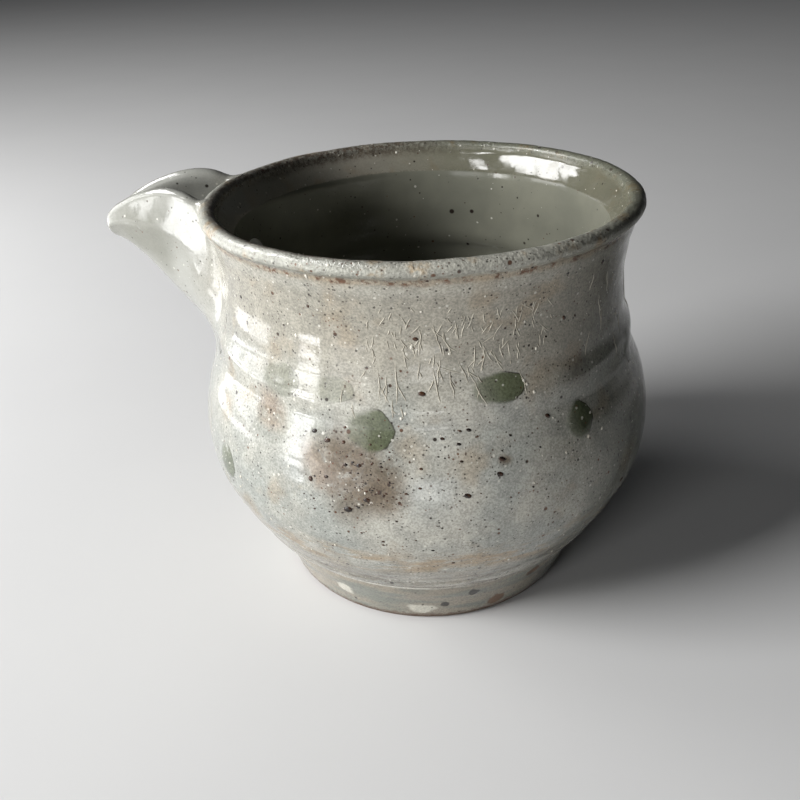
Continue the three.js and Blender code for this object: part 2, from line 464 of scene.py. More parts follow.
class SurfaceProbe:
    """Finds places on a finished mesh: the nearest point, the smooth direction outwards, and the distance."""

    def __init__(self, obj: Piece) -> None:
        """Takes the object whose mesh is probed."""
        mesh = obj.data
        mesh.calc_loop_triangles()
        self.points = [v.co.copy() for v in mesh.vertices]
        self.normals = [n.vector.copy() for n in mesh.vertex_normals]
        self.corners = [tuple(t.vertices) for t in mesh.loop_triangles]
        self.tree = BVHTree.FromPolygons(self.points, self.corners)

    def outward(self, point: Vector, face: int) -> Vector:
        """Smooth normal at a point of a triangle.

        Args:
            point: a point on it
            face: the triangle's number

        Returns:
            The unit normal
        """
        a, b, c = (self.points[i] for i in self.corners[face])
        shares = ((b - point).cross(c - point), (c - point).cross(a - point), (a - point).cross(b - point))
        flat = (b - a).cross(c - a)
        total = Vector()
        for corner, area in zip(self.corners[face], shares):
            total += self.normals[corner] * max(area.dot(flat), 0.0)
        return total.normalized() if total.length > 0 else flat.normalized()

    def distance(self, point: Vector) -> tuple[float, Vector]:
        """Distance over the surface, below zero inside the clay.

        Args:
            point: any point, in metres

        Returns:
            The distance in metres, and the smooth normal of the nearest place
        """
        near, _, face, gap = self.tree.find_nearest(point)
        out = self.outward(near, face)
        return math.copysign(gap, (point - near).dot(out)), out

    def wall(self, pot: PotFrame, azimuth: float, height: float) -> tuple[Vector, Vector]:
        """The outside of the wall at an angle and height.

        Args:
            pot: gives the potter's axis
            azimuth: degrees round it
            height: mm over the table

        Returns:
            The point and its smooth normal
        """
        start = pot.place(azimuth, 2 * pot.belly, height)
        aim = (pot.place(azimuth, 0.0, height) - start).normalized()
        hit, _, face, _ = self.tree.ray_cast(start, aim)
        return hit, self.outward(hit, face)


@dataclass(frozen=True)
class Pool:
    """A drop of green glass where ash gathered in the glaze.

    Attributes:
        azimuth: degrees round the axis
        height: mm over the table
        across: width in mm
        tall: height of the drop in mm
        strength: how green it is, from 0 to 1
        swell: how far it stands out of the wall, in mm
    """

    azimuth: float
    height: float
    across: float
    tall: float
    strength: float
    swell: float


class Tone(Enum):
    """Colours of the soft patches in the glaze."""

    BROWN = (0.122, 0.088, 0.056)
    PINK = (0.27, 0.199, 0.143)
    TAN = (0.3, 0.24, 0.161)
    GREY = (0.33, 0.345, 0.326)


@dataclass(frozen=True)
class Blush:
    """A soft patch where the glaze is thin and the clay shows, or where it lies thick and cloudy.

    Attributes:
        azimuth: degrees round the axis
        height: mm over the table
        across: width in mm
        strength: from 0 to 1
        specks: how many more iron specks it holds, from 0 to 1
        tone: its colour
    """

    azimuth: float
    height: float
    across: float
    strength: float
    specks: float
    tone: Tone = Tone.BROWN


POOLS = (
    Pool(-94.0, 55.0, 9.4, 8.4, 0.82, 0.16),
    Pool(-63.4, 61.8, 10.6, 5.8, 0.88, 0.12),
    Pool(-42.3, 51.6, 7.0, 7.6, 0.92, 0.20),
    Pool(-137.0, 38.6, 6.4, 8.4, 0.58, 0.45),
    Pool(-119.5, 61.0, 10.0, 6.4, 0.36, 0.05),
    Pool(-104.0, 61.6, 9.0, 5.0, 0.34, 0.05),
    Pool(-12.0, 57.0, 7.5, 7.0, 0.80, 0.20),
    Pool(27.0, 60.5, 9.0, 6.0, 0.70, 0.20),
    Pool(64.0, 52.5, 7.0, 7.5, 0.85, 0.25),
    Pool(103.0, 61.0, 8.5, 6.0, 0.75, 0.20),
    Pool(139.0, 49.0, 6.5, 7.5, 0.80, 0.30),
)

BLUSHES = (
    Blush(-109.8, 44.0, 13.0, 0.60, 0.0, Tone.GREY),
    Blush(-79.9, 43.4, 13.0, 0.55, 0.0, Tone.GREY),
    Blush(-77.0, 54.0, 11.0, 0.35, 0.0, Tone.GREY),
    Blush(-139.0, 50.0, 6.5, 0.70, 0.0, Tone.TAN),
    Blush(-141.0, 56.5, 6.0, 0.60, 0.0, Tone.TAN),
    Blush(-121.0, 54.6, 9.0, 0.70, 0.2, Tone.PINK),
    Blush(-107.0, 48.0, 9.0, 0.65, 0.3, Tone.PINK),
    Blush(-101.0, 47.5, 10.0, 0.60, 0.6, Tone.PINK),
    Blush(-130.0, 30.0, 10.0, 0.65, 0.1, Tone.TAN),
    Blush(-100.0, 50.4, 11.0, 0.80, 0.5),
    Blush(-94.5, 47.0, 17.0, 0.80, 1.0),
    Blush(-90.5, 43.4, 11.0, 0.75, 1.0),
    Blush(-96.5, 40.0, 9.0, 0.55, 0.8),
    Blush(-64.1, 49.3, 3.2, 0.80, 0.0),
    Blush(-40.0, 60.0, 9.0, 0.40, 0.2),
    Blush(8.0, 45.0, 15.0, 0.60, 0.6),
    Blush(80.0, 38.0, 14.0, 0.60, 0.5),
    Blush(125.0, 55.0, 12.0, 0.50, 0.3, Tone.PINK),
    Blush(40.0, 36.0, 12.0, 0.50, 0.2, Tone.GREY),
    Blush(150.0, 34.0, 12.0, 0.50, 0.2, Tone.TAN),
)

# Place in mm, in the frame of the model, and radius of the dark dots inside.
INSIDE_DOTS = (
    (11.3, 37.9, 69.0, 1.3), (16.4, 37.3, 69.3, 1.1), (15.2, 39.3, 60.2, 1.0), (33.0, 29.6, 71.0, 0.8),
    (39.5, 22.0, 74.0, 0.9), (24.0, 36.0, 66.0, 0.8), (-2.0, 38.6, 66.0, 0.9), (30.0, 33.0, 63.0, 1.0),
    (-20.0, -24.0, 60.0, 1.1), (2.0, -38.5, 66.0, 1.2), (36.0, -26.0, 62.0, 1.0),
)


class MaterialSheet(NodeSheet):
    """Writes a material that is read in millimetres about the potter's axis.

    Attributes:
        material: the material
        place: the place's socket, in mm
    """

    def __init__(self, name: str, axis_x: float) -> None:
        """Opens the material.

        Args:
            name: its name
            axis_x: the axis along X, in mm
        """
        self.material = bpy.data.materials.new(name)
        self.material.use_nodes = True
        super().__init__(self.material.node_tree)
        self.tree.nodes.clear()
        seen = self.add("ShaderNodeTexCoord").outputs["Object"]
        moved = {"Vector": seen, "Location": (-axis_x, 0.0, 0.0), "Scale": (1 / MM, 1 / MM, 1 / MM)}
        self.place = self.first("ShaderNodeMapping", moved)

    def end(self, colour: Any, rough: Any, relief: Any = None, **fixed: float) -> Material:
        """Closes the material with its shader.

        Args:
            colour: base colour
            rough: roughness
            relief: height of the surface in mm, or None
            fixed: other inputs of the shader, with _ for a space

        Returns:
            The material
        """
        shader = self.add("ShaderNodeBsdfPrincipled", {"Base Color": colour, "Roughness": rough})
        for name, value in fixed.items():
            shader.inputs[name.replace("_", " ")].default_value = value
        if relief is not None:
            bump = self.first("ShaderNodeBump", {"Height": relief, "Distance": MM, "Strength": 1.0})
            self.feed(shader.inputs["Normal"], bump)
        self.add("ShaderNodeOutputMaterial", {"Surface": shader.outputs[0]})
        return self.material

    def dots(self, place: Any, spacing: float, small: float, large: float, share: Any) -> Socket:
        """Round dots of random size, at most one in each cell.

        Args:
            place: where it is read, in mm
            spacing: about how far apart the cells are, in mm
            small: least radius in mm
            large: largest radius in mm
            share: how many of the cells hold a dot, from 0 to 1

        Returns:
            A socket, 1 in the dots
        """
        cells = self.add("ShaderNodeTexVoronoi", {"Vector": place, "Scale": 1.0 / spacing})
        chance = self.parts(cells.outputs["Color"])
        size = self.math("POWER", chance[0], 2.5)
        radius = self.math("MULTIPLY_ADD", size, (large - small) / spacing, small / spacing)
        dot = self.ramp(cells.outputs["Distance"], radius, self.times(radius, 0.6))
        return self.times(dot, self.math("LESS_THAN", chance[1], share))


@dataclass(frozen=True)
class AshGlaze:
    """Glossy ash glaze over iron-bearing stoneware, pale grey-green, as it broke and pooled in the kiln."""

    name: str = "ash_glaze"
    cool: Colour = (0.322, 0.328, 0.298)
    cream: Colour = (0.415, 0.402, 0.352)
    neck: Colour = (0.318, 0.290, 0.234)
    ochre: Colour = (0.323, 0.232, 0.135)
    green: Colour = (0.068, 0.083, 0.036)
    worn_and_shade: Colour = (0.094, 0.064, 0.044)
    low: Colour = (0.222, 0.198, 0.155)
    rim: Colour = (0.352, 0.345, 0.3)
    rust: Colour = (0.112, 0.046, 0.021)
    iron: Colour = (0.024, 0.018, 0.015)
    spout: Colour = (0.385, 0.379, 0.343)
    throat: Colour = (0.235, 0.232, 0.195)
    sand: Colour = (0.645, 0.622, 0.555)
    inside: Colour = (0.232, 0.229, 0.18)
    inside_deep: Colour = (0.098, 0.101, 0.083)
    painted_shade_lee: Colour = (0.34, 0.355, 0.31)
    painted_shade_lit_side: Colour = (0.80, 0.815, 0.82)
    inside_floor: Colour = (0.31, 0.32, 0.26)
    gloss: float = 0.07
    dull: float = 0.24
    dry_bead: float = 0.22
    refraction: float = 1.52
    shade_span: tuple[float, float] = (-8.0, 32.0)
    blush_edge: float = 0.62
    blush_core: float = 0.15
    pool_slant: float = 0.15
    dot_edge: float = 0.62
    dot_core: float = 0.34

    def material(self, pot: PotFrame, wall: SmoothCurve) -> Material:
        """Builds the glaze.

        Args:
            pot: gives the potter's axis
            wall: outside radius over the height, in mm

        Returns:
            The material
        """
        sheet = MaterialSheet(self.name, pot.axis_x)
        place = sheet.place
        across, ahead, height = sheet.parts(place)
        inside = sheet.add("ShaderNodeAttribute", attribute_name="skin").outputs["Fac"]
        warp = sheet.add("ShaderNodeTexNoise", {"Vector": place, "Scale": 0.09, "Detail": 2.0})
        drift = sheet.vector("SCALE", sheet.vector("SUBTRACT", warp.outputs["Color"], (0.5, 0.5, 0.5)), 7.0)
        drifted = sheet.vector("ADD", place, drift)
        wave = sheet.plus(height, sheet.swing(place, 14.0, 1.6))
        level = sheet.add("ShaderNodeAttribute", attribute_name="level").outputs["Fac"]
        radius = sheet.vector("LENGTH", sheet.join(across, ahead))
        bead = sheet.times(sheet.ramp(level, 82.5, 83.3), sheet.ramp(radius, 41.2, 42.0))
        lip = sheet.times(sheet.ramp(level, 79.4, 80.2), sheet.ramp(radius, 41.8, 41.2))

        ground = self.ground(sheet, drifted, across, wave)
        ground, crowd = self.blushes(sheet, drifted, wall, ground)
        ground = self.bands(sheet, wave, ground)
        ground = self.rim_colours(sheet, level, radius, bead, ground)
        ground = self.pools(sheet, wall, ground)
        # Painted shade: the side turned away from the lights is multiplied darker, and the side facing them a
        # little darker too, to tone down the light there.
        for aside, tone in (((0.80, 0.60, 0.0), self.painted_shade_lee), ((-0.95, -0.30, 0.0), self.painted_shade_lit_side)):
            share = sheet.ramp(sheet.vector("DOT_PRODUCT", drifted, aside), *self.shade_span)
            ground = sheet.mix(share, ground, sheet.mix(1.0, ground, tone, "MULTIPLY"))
        # Painted shade: the inside glaze is darker than the outside, in random deeper patches, for the shade
        # in the bowl's hollow; low down it is painted paler again, painted light so that the barely lit floor
        # still reads.
        within = sheet.mix(sheet.noise(drifted, 16.0, 3.0), self.inside_deep, self.inside)
        within = sheet.mix(sheet.ramp(height, 26.0, 12.0), within, self.inside_floor)
        inside = sheet.ramp(inside, 0.3, 0.9)
        for x, y, z, size in INSIDE_DOTS:
            far = sheet.vector("DISTANCE", place, (x - pot.axis_x, y, z))
            dot = sheet.ramp(far, self.dot_edge * size, self.dot_core * size)
            within = sheet.mix(dot, within, self.iron)
        ground = sheet.mix(inside, ground, within)
        crowd = sheet.most(crowd, sheet.times(bead, 0.7))
        calm = sheet.ramp(across, -36.0, -50.0, 0.0, 0.8)
        calm = sheet.most(calm, sheet.times(inside, 0.95))
        calm = sheet.most(calm, sheet.times(lip, 0.75))
        ground, grit = self.grain(sheet, crowd, calm, ground)

        rough = sheet.ramp(sheet.noise(place, 3.2, 4.0, 0.6), 0.35, 0.75, self.gloss, self.dull)
        rough = sheet.math("MULTIPLY_ADD", bead, self.dry_bead, rough)
        return sheet.end(ground, rough, self.relief(sheet, grit, bead, lip), IOR=self.refraction)

    def ground(self, sheet: MaterialSheet, drifted: Any, x: Any, wave: Any) -> Socket:
        """The glaze's clouds, warmer on the neck and creamy on the spout.

        Args:
            sheet: the glaze's sheet
            drifted: place in mm, moved by a slow noise
            x: place along X
            wave: height in mm, made uneven

        Returns:
            The colour's socket
        """
        clouds = sheet.ramp(sheet.noise(drifted, 15.0, 2.0), 0.38, 0.62)
        ground = sheet.mix(clouds, self.cool, self.cream)
        neck = sheet.times(sheet.ramp(wave, 57.0, 70.0), 0.75)
        ground = sheet.mix(neck, ground, self.neck)
        warm = sheet.ramp(sheet.noise(drifted, 9.0, 2.0), 0.54, 0.72, 0.0, 0.35)
        ground = sheet.mix(warm, ground, self.ochre)
        ground = sheet.mix(sheet.ramp(x, -35.0, -50.0), ground, self.spout)
        # A darker olive-grey patch round the middle of the spout's near flank.
        deep = sheet.ramp(sheet.vector("DISTANCE", drifted, (-58.0, -8.0, 77.0)), 11.0, 3.0, 0.0, 0.75)
        return sheet.mix(deep, ground, self.throat)

    def blushes(
        self, sheet: MaterialSheet, drifted: Any, wall: SmoothCurve, ground: Any
    ) -> tuple[Socket, Any]:
        """Soft patches.

        Args:
            sheet: the glaze's sheet
            drifted: drifted place in mm
            wall: outside radius over the height
            ground: colour under them

        Returns:
            Sockets for the colour and for how many specks crowd there
        """
        crowd: Any = 0.0
        broken = sheet.ramp(sheet.noise(drifted, 3.2, 4.0, 0.65), 0.22, 0.52)
        for spot in BLUSHES:
            far = sheet.vector("DISTANCE", drifted, wall_place(wall, spot.azimuth, spot.height))
            patch = sheet.ramp(far, self.blush_edge * spot.across, self.blush_core * spot.across)
            thin = sheet.times(sheet.times(patch, spot.strength), broken)
            ground = sheet.mix(thin, ground, spot.tone.value)
            if spot.specks:
                crowd = sheet.most(crowd, sheet.times(patch, spot.specks))
        return ground, crowd

    def pools(self, sheet: MaterialSheet, wall: SmoothCurve, ground: Any) -> Socket:
        """Green drops, painted paler towards their left side, with a fine dark line along their right edge:
        painted light and painted shade, as if lit from the left.

        Args:
            sheet: the glaze's sheet
            wall: outside radius over the height
            ground: colour under them

        Returns:
            The colour's socket
        """
        place = sheet.place
        fuzz = sheet.swing(place, 2.8, 0.20)
        for pool in POOLS:
            a = math.radians(pool.azimuth)
            gap = sheet.vector("SUBTRACT", place, wall_place(wall, pool.azimuth, pool.height))
            far = sheet.plus(sheet.oval(gap, pool.across, pool.tall), fuzz)
            aside = sheet.vector("DOT_PRODUCT", gap, (-math.sin(a), math.cos(a), self.pool_slant))
            right = sheet.times(aside, 2.0 / pool.across)
            # Painted light: each pool is paler and softer-edged towards its left side.
            depth = sheet.ramp(right, -0.8, 0.3, 0.68, 1.0)
            full_at = sheet.ramp(right, -0.2, 0.7, 0.70, 0.97)
            fill = sheet.times(sheet.ramp(far, 1.04, full_at), depth)
            fill = sheet.times(fill, pool.strength)
            # Painted shade: a fine dark line, in the iron colour, along each pool's right edge where its
            # raised rim would be shaded.
            edge = sheet.times(sheet.band(far, 0.96, 1.02, 0.03), sheet.ramp(right, 0.1, 0.6))
            edge = sheet.times(edge, 0.85 * pool.strength)
            ground = sheet.mix(fill, ground, self.green)
            ground = sheet.mix(edge, ground, self.iron)
        return ground

    def bands(self, sheet: MaterialSheet, wave: Any, ground: Any) -> Socket:
        """The torn ochre band low on the belly, darker streaks and a brown line nearer the foot, and a
        painted highlight along the belly's bottom edge.

        Args:
            sheet: the glaze's sheet
            wave: height in mm, made uneven
            ground: colour so far

        Returns:
            The colour's socket
        """
        flat = sheet.vector("MULTIPLY", sheet.place, (0.2, 0.2, 1.0))
        torn = sheet.ramp(sheet.noise(flat, 2.4, 4.0, 0.65), 0.42, 0.60, 0.0, 0.8)
        low = sheet.times(sheet.band(wave, 23.0, 29.5, 2.0), torn)
        ground = sheet.mix(low, ground, self.ochre)
        streak = sheet.ramp(sheet.noise(flat, 1.6, 3.0, 0.6), 0.40, 0.60, 0.25, 0.85)
        foot = sheet.times(sheet.ramp(wave, 26.0, 20.0), streak)
        ground = sheet.mix(foot, ground, self.low)
        line = sheet.ramp(sheet.noise(flat, 0.9, 2.0, 0.6), 0.56, 0.66, 0.0, 0.5)
        ground = sheet.mix(sheet.times(sheet.ramp(wave, 24.0, 20.0), line), ground, self.worn_and_shade)
        # Painted highlight: a patchy pale band in the sand colour along the belly's rounded bottom edge,
        # where that edge catches the light.
        patchy = sheet.ramp(sheet.noise(flat, 3.0, 2.0), 0.40, 0.55)
        ledge = sheet.times(sheet.ramp(wave, 17.2, 15.4), patchy)
        return sheet.mix(sheet.times(ledge, 0.75), ground, self.sand)

    def rim_colours(self, sheet: MaterialSheet, level: Any, radius: Any, bead: Any, ground: Any) -> Socket:
        """The grey rolled rim, the rusty crease under it, the pale band under that, and dark brown on the
        inner side of the left rim and the far lip: iron where the glaze is thin on the rim, painted shade of
        the lip under the left rim.

        Args:
            sheet: the glaze's sheet
            level: height that the clay had before the rim was tilted, in mm
            radius: distance from the axis
            bead: 1 on the rolled rim
            ground: colour so far

        Returns:
            The colour's socket
        """
        place = sheet.place
        outer = sheet.ramp(radius, 41.6, 42.4)
        pale = sheet.times(sheet.band(level, 79.6, 81.6, 1.2), outer)
        ground = sheet.mix(sheet.times(pale, 0.45), ground, self.cream)
        torn = sheet.noise(place, 2.2, 5.0, 0.7)
        mottled = sheet.mix(sheet.ramp(sheet.noise(place, 1.4, 4.0, 0.7), 0.36, 0.6), self.rim, self.ochre)
        streaks = sheet.ramp(sheet.noise(place, 6.0, 3.0), 0.52, 0.66, 0.0, 0.8)
        ground = sheet.mix(bead, ground, sheet.mix(streaks, self.rim, mottled))
        speckled = sheet.ramp(sheet.noise(place, 0.9, 3.0, 0.7), 0.42, 0.56, 0.35, 1.0)
        across, ahead, _ = sheet.parts(place)
        # Dark brown on the inner side of the rim's left half is iron where the glaze runs thin; carried onto
        # the far lip it is painted shade where the left rim shades the lip.
        inner = sheet.times(sheet.ramp(radius, 43.9, 42.7), sheet.ramp(across, 12.0, -18.0))
        shaded_far_lip = sheet.times(sheet.ramp(radius, 40.2, 41.6), sheet.ramp(ahead, 4.0, 22.0))
        inner = sheet.times(inner, sheet.most(bead, sheet.times(shaded_far_lip, 0.8)))
        inner = sheet.times(sheet.times(inner, speckled), sheet.ramp(level, 81.0, 83.0))
        ground = sheet.mix(sheet.times(inner, 0.9), ground, self.worn_and_shade)
        crease = sheet.band(sheet.plus(level, sheet.swing(place, 1.8, 0.55)), 81.9, 82.9, 0.4)
        crease = sheet.times(crease, outer)
        ground = sheet.mix(sheet.times(crease, 0.35), ground, self.ochre)
        strong = sheet.ramp(torn, 0.48, 0.60, 0.0, 0.92)
        return sheet.mix(sheet.times(crease, strong), ground, self.rust)

    def grain(self, sheet: MaterialSheet, crowd: Any, calm: Any, ground: Any) -> tuple[Socket, Socket]:
        """Fine grain, pale sand and iron specks.

        Args:
            sheet: the glaze's sheet
            crowd: where more specks lie
            calm: where the glaze is thick and smooth
            ground: colour under them

        Returns:
            Sockets for the colour and for the grit: 1 on sand, -1 in the specks
        """
        place = sheet.place
        fine = sheet.ramp(sheet.noise(place, 0.42, 2.0, 0.6), 0.34, 0.66, 0.80, 1.18)
        mottle = sheet.ramp(sheet.noise(place, 3.0, 3.0, 0.6), 0.34, 0.66, 0.90, 1.09)
        lively = sheet.math("SUBTRACT", 1.0, calm)
        ground = sheet.shaded(ground, sheet.times(fine, mottle), lively)
        sparse = sheet.math("MULTIPLY_ADD", calm, -0.9, 1.0)
        sand = sheet.dots(place, 1.2, 0.10, 0.36, sheet.times(sparse, 0.75))
        ground = sheet.mix(sheet.times(sand, 0.6), ground, self.sand)
        patchy = sheet.ramp(sheet.noise(place, 9.0, 2.0), 0.38, 0.64, 0.35, 0.85)
        share = sheet.times(sheet.plus(patchy, crowd), sparse)
        pepper = sheet.dots(place, 0.76, 0.12, 0.30, share)
        larger = sheet.times(sheet.math("MULTIPLY_ADD", crowd, 0.8, 0.42), sparse)
        iron = sheet.dots(sheet.vector("ADD", place, (31.0, 17.0, 5.0)), 2.0, 0.18, 0.55, larger)
        specks = sheet.most(sheet.times(pepper, 0.80), sheet.times(iron, 0.95))
        tint = sheet.mix(sheet.ramp(sheet.noise(place, 4.0, 1.0), 0.5, 0.7), self.iron, self.rust)
        return sheet.mix(specks, ground, tint), sheet.math("SUBTRACT", sand, specks)

    def relief(self, sheet: MaterialSheet, grit: Any, bead: Any, lip: Any) -> Socket:
        """The glaze's skin, in mm.

        Args:
            sheet: the glaze's sheet
            grit: 1 on sand and -1 in the specks
            bead: 1 on the rolled rim, which is drier and rougher
            lip: 1 on the flared lip, which is smooth

        Returns:
            The height's socket
        """
        place = sheet.place
        skin = sheet.times(sheet.noise(place, 4.5, 2.0), 0.09)
        coarse = sheet.math("MULTIPLY_ADD", bead, 0.19, 0.016)
        coarse = sheet.math("MULTIPLY_ADD", lip, -0.010, coarse)
        skin = sheet.times(skin, sheet.math("MULTIPLY_ADD", lip, -0.5, 1.0))
        peel = sheet.times(sheet.noise(place, 0.75, 2.0, 0.6), coarse)
        return sheet.math("MULTIPLY_ADD", grit, 0.014, sheet.plus(skin, peel))


class Mark(Enum):
    """Kinds of mark on the foot's glaze, with the colour of each."""

    DRIP = (0.495, 0.48, 0.413)
    IRON = (0.017, 0.013, 0.011)
    RUST = (0.12, 0.061, 0.028)


@dataclass(frozen=True)
class FootGlaze:
    """Thin streaky glaze over the foot ring, greyer than the body, with marks and a bare lower edge."""

    name: str = "foot_glaze"
    grey: Colour = (0.176, 0.184, 0.158)
    buff: Colour = (0.251, 0.225, 0.18)
    dark: Colour = (0.038, 0.03, 0.022)
    clay: Colour = (0.098, 0.064, 0.041)
    marks: tuple[tuple[float, float, float, float, Mark], ...] = (
        (-112.0, 6.8, 4.5, 4.5, Mark.DRIP),
        (-84.0, 4.0, 7.0, 4.0, Mark.DRIP),
        (-150.0, 6.0, 5.0, 4.0, Mark.DRIP),
        (20.0, 5.0, 6.0, 4.0, Mark.DRIP),
        (96.0, 6.0, 5.0, 4.5, Mark.DRIP),
        (-66.7, 9.4, 3.0, 3.0, Mark.IRON),
        (-75.8, 5.7, 2.4, 2.4, Mark.IRON),
        (50.0, 8.0, 3.0, 2.2, Mark.IRON),
        (160.0, 6.0, 3.0, 2.2, Mark.IRON),
        (-56.6, 3.6, 5.0, 4.4, Mark.RUST),
        (-44.0, 9.6, 4.5, 3.0, Mark.RUST),
        (75.0, 4.0, 6.0, 3.4, Mark.RUST),
        (-170.0, 9.0, 5.0, 3.0, Mark.RUST),
    )

    def material(self, pot: PotFrame, wall: SmoothCurve) -> Material:
        """Builds the foot's glaze.

        Args:
            pot: gives the potter's axis
            wall: outside radius over the height, in mm

        Returns:
            The material
        """
        sheet = MaterialSheet(self.name, pot.axis_x)
        place = sheet.place
        z = sheet.parts(place)[2]
        flat = sheet.vector("MULTIPLY", place, (0.22, 0.22, 1.0))
        ground = sheet.mix(sheet.ramp(sheet.noise(flat, 3.0, 3.0, 0.6), 0.38, 0.62), self.grey, self.buff)
        ledge = sheet.ramp(sheet.plus(z, sheet.swing(place, 5.0, 0.7)), 12.0, 12.8, 0.0, 0.6)
        ground = sheet.mix(ledge, ground, Mark.DRIP.value)
        fuzz = sheet.swing(place, 1.8, 0.45)
        for azimuth, height, across, tall, mark in self.marks:
            gap = sheet.vector("SUBTRACT", place, wall_place(wall, azimuth, height))
            fill = sheet.ramp(sheet.plus(sheet.oval(gap, across, tall), fuzz), 1.05, 0.65, 0.0, 0.94)
            ground = sheet.mix(fill, ground, mark.value)
        shade = sheet.ramp(sheet.noise(place, 0.45, 2.0, 0.6), 0.34, 0.66, 0.82, 1.16)
        ground = sheet.shaded(ground, shade)
        specks = sheet.dots(place, 1.0, 0.10, 0.30, 0.35)
        larger = sheet.dots(sheet.vector("ADD", place, (11.0, 7.0, 3.0)), 2.6, 0.2, 0.6, 0.35)
        specks = sheet.most(sheet.times(specks, 0.7), larger)
        ground = sheet.mix(specks, ground, self.dark)
        torn = sheet.noise(place, 1.6, 4.0, 0.7)
        edge = sheet.plus(z, sheet.math("MULTIPLY_ADD", torn, 3.2, -1.6))
        ground = sheet.mix(sheet.ramp(edge, 2.1, 1.1), ground, self.clay)
        rough = sheet.ramp(edge, 1.6, 0.6, 0.24, 0.75)
        relief = sheet.times(sheet.noise(place, 0.8, 3.0, 0.6), 0.035)
        return sheet.end(ground, rough, relief)


@dataclass(frozen=True)
class BareClay:
    """Unglazed iron-speckled stoneware on the underside and the contact ring."""

    name: str = "bare_clay"
    pale: Colour = (0.27, 0.195, 0.135)
    toasted: Colour = (0.165, 0.098, 0.06)
    speck: Colour = (0.05, 0.035, 0.028)
    rough: float = 0.85

    def material(self, pot: PotFrame) -> Material:
        """Builds the clay, with pot for the axis."""
        sheet = MaterialSheet(self.name, pot.axis_x)
        place = sheet.place
        share = sheet.ramp(sheet.noise(place, 12.0, 4.0, 0.6), 0.35, 0.65)
        ground = sheet.mix(share, self.pale, self.toasted)
        specks = sheet.dots(place, 1.3, 0.10, 0.40, 0.30)
        ground = sheet.mix(sheet.times(specks, 0.8), ground, self.speck)
        relief = sheet.times(sheet.noise(place, 0.5, 4.0, 0.7), 0.06)
        return sheet.end(ground, self.rough, relief)


@dataclass(frozen=True)
class Grit:
    """Small things that show through the glaze, in two tones.

    Attributes:
        name: the material's name
        first: one tone
        second: the other
        rough: roughness
    """

    name: str
    first: Colour
    second: Colour
    rough: float

    def material(self, pot: PotFrame) -> Material:
        """Builds the finish, with pot for the axis."""
        sheet = MaterialSheet(self.name, pot.axis_x)
        place = sheet.place
        share = sheet.ramp(sheet.noise(place, 1.8, 2.0), 0.40, 0.60)
        relief = sheet.times(sheet.noise(place, 0.3, 2.0), 0.02)
        return sheet.end(sheet.mix(share, self.first, self.second), self.rough, relief)


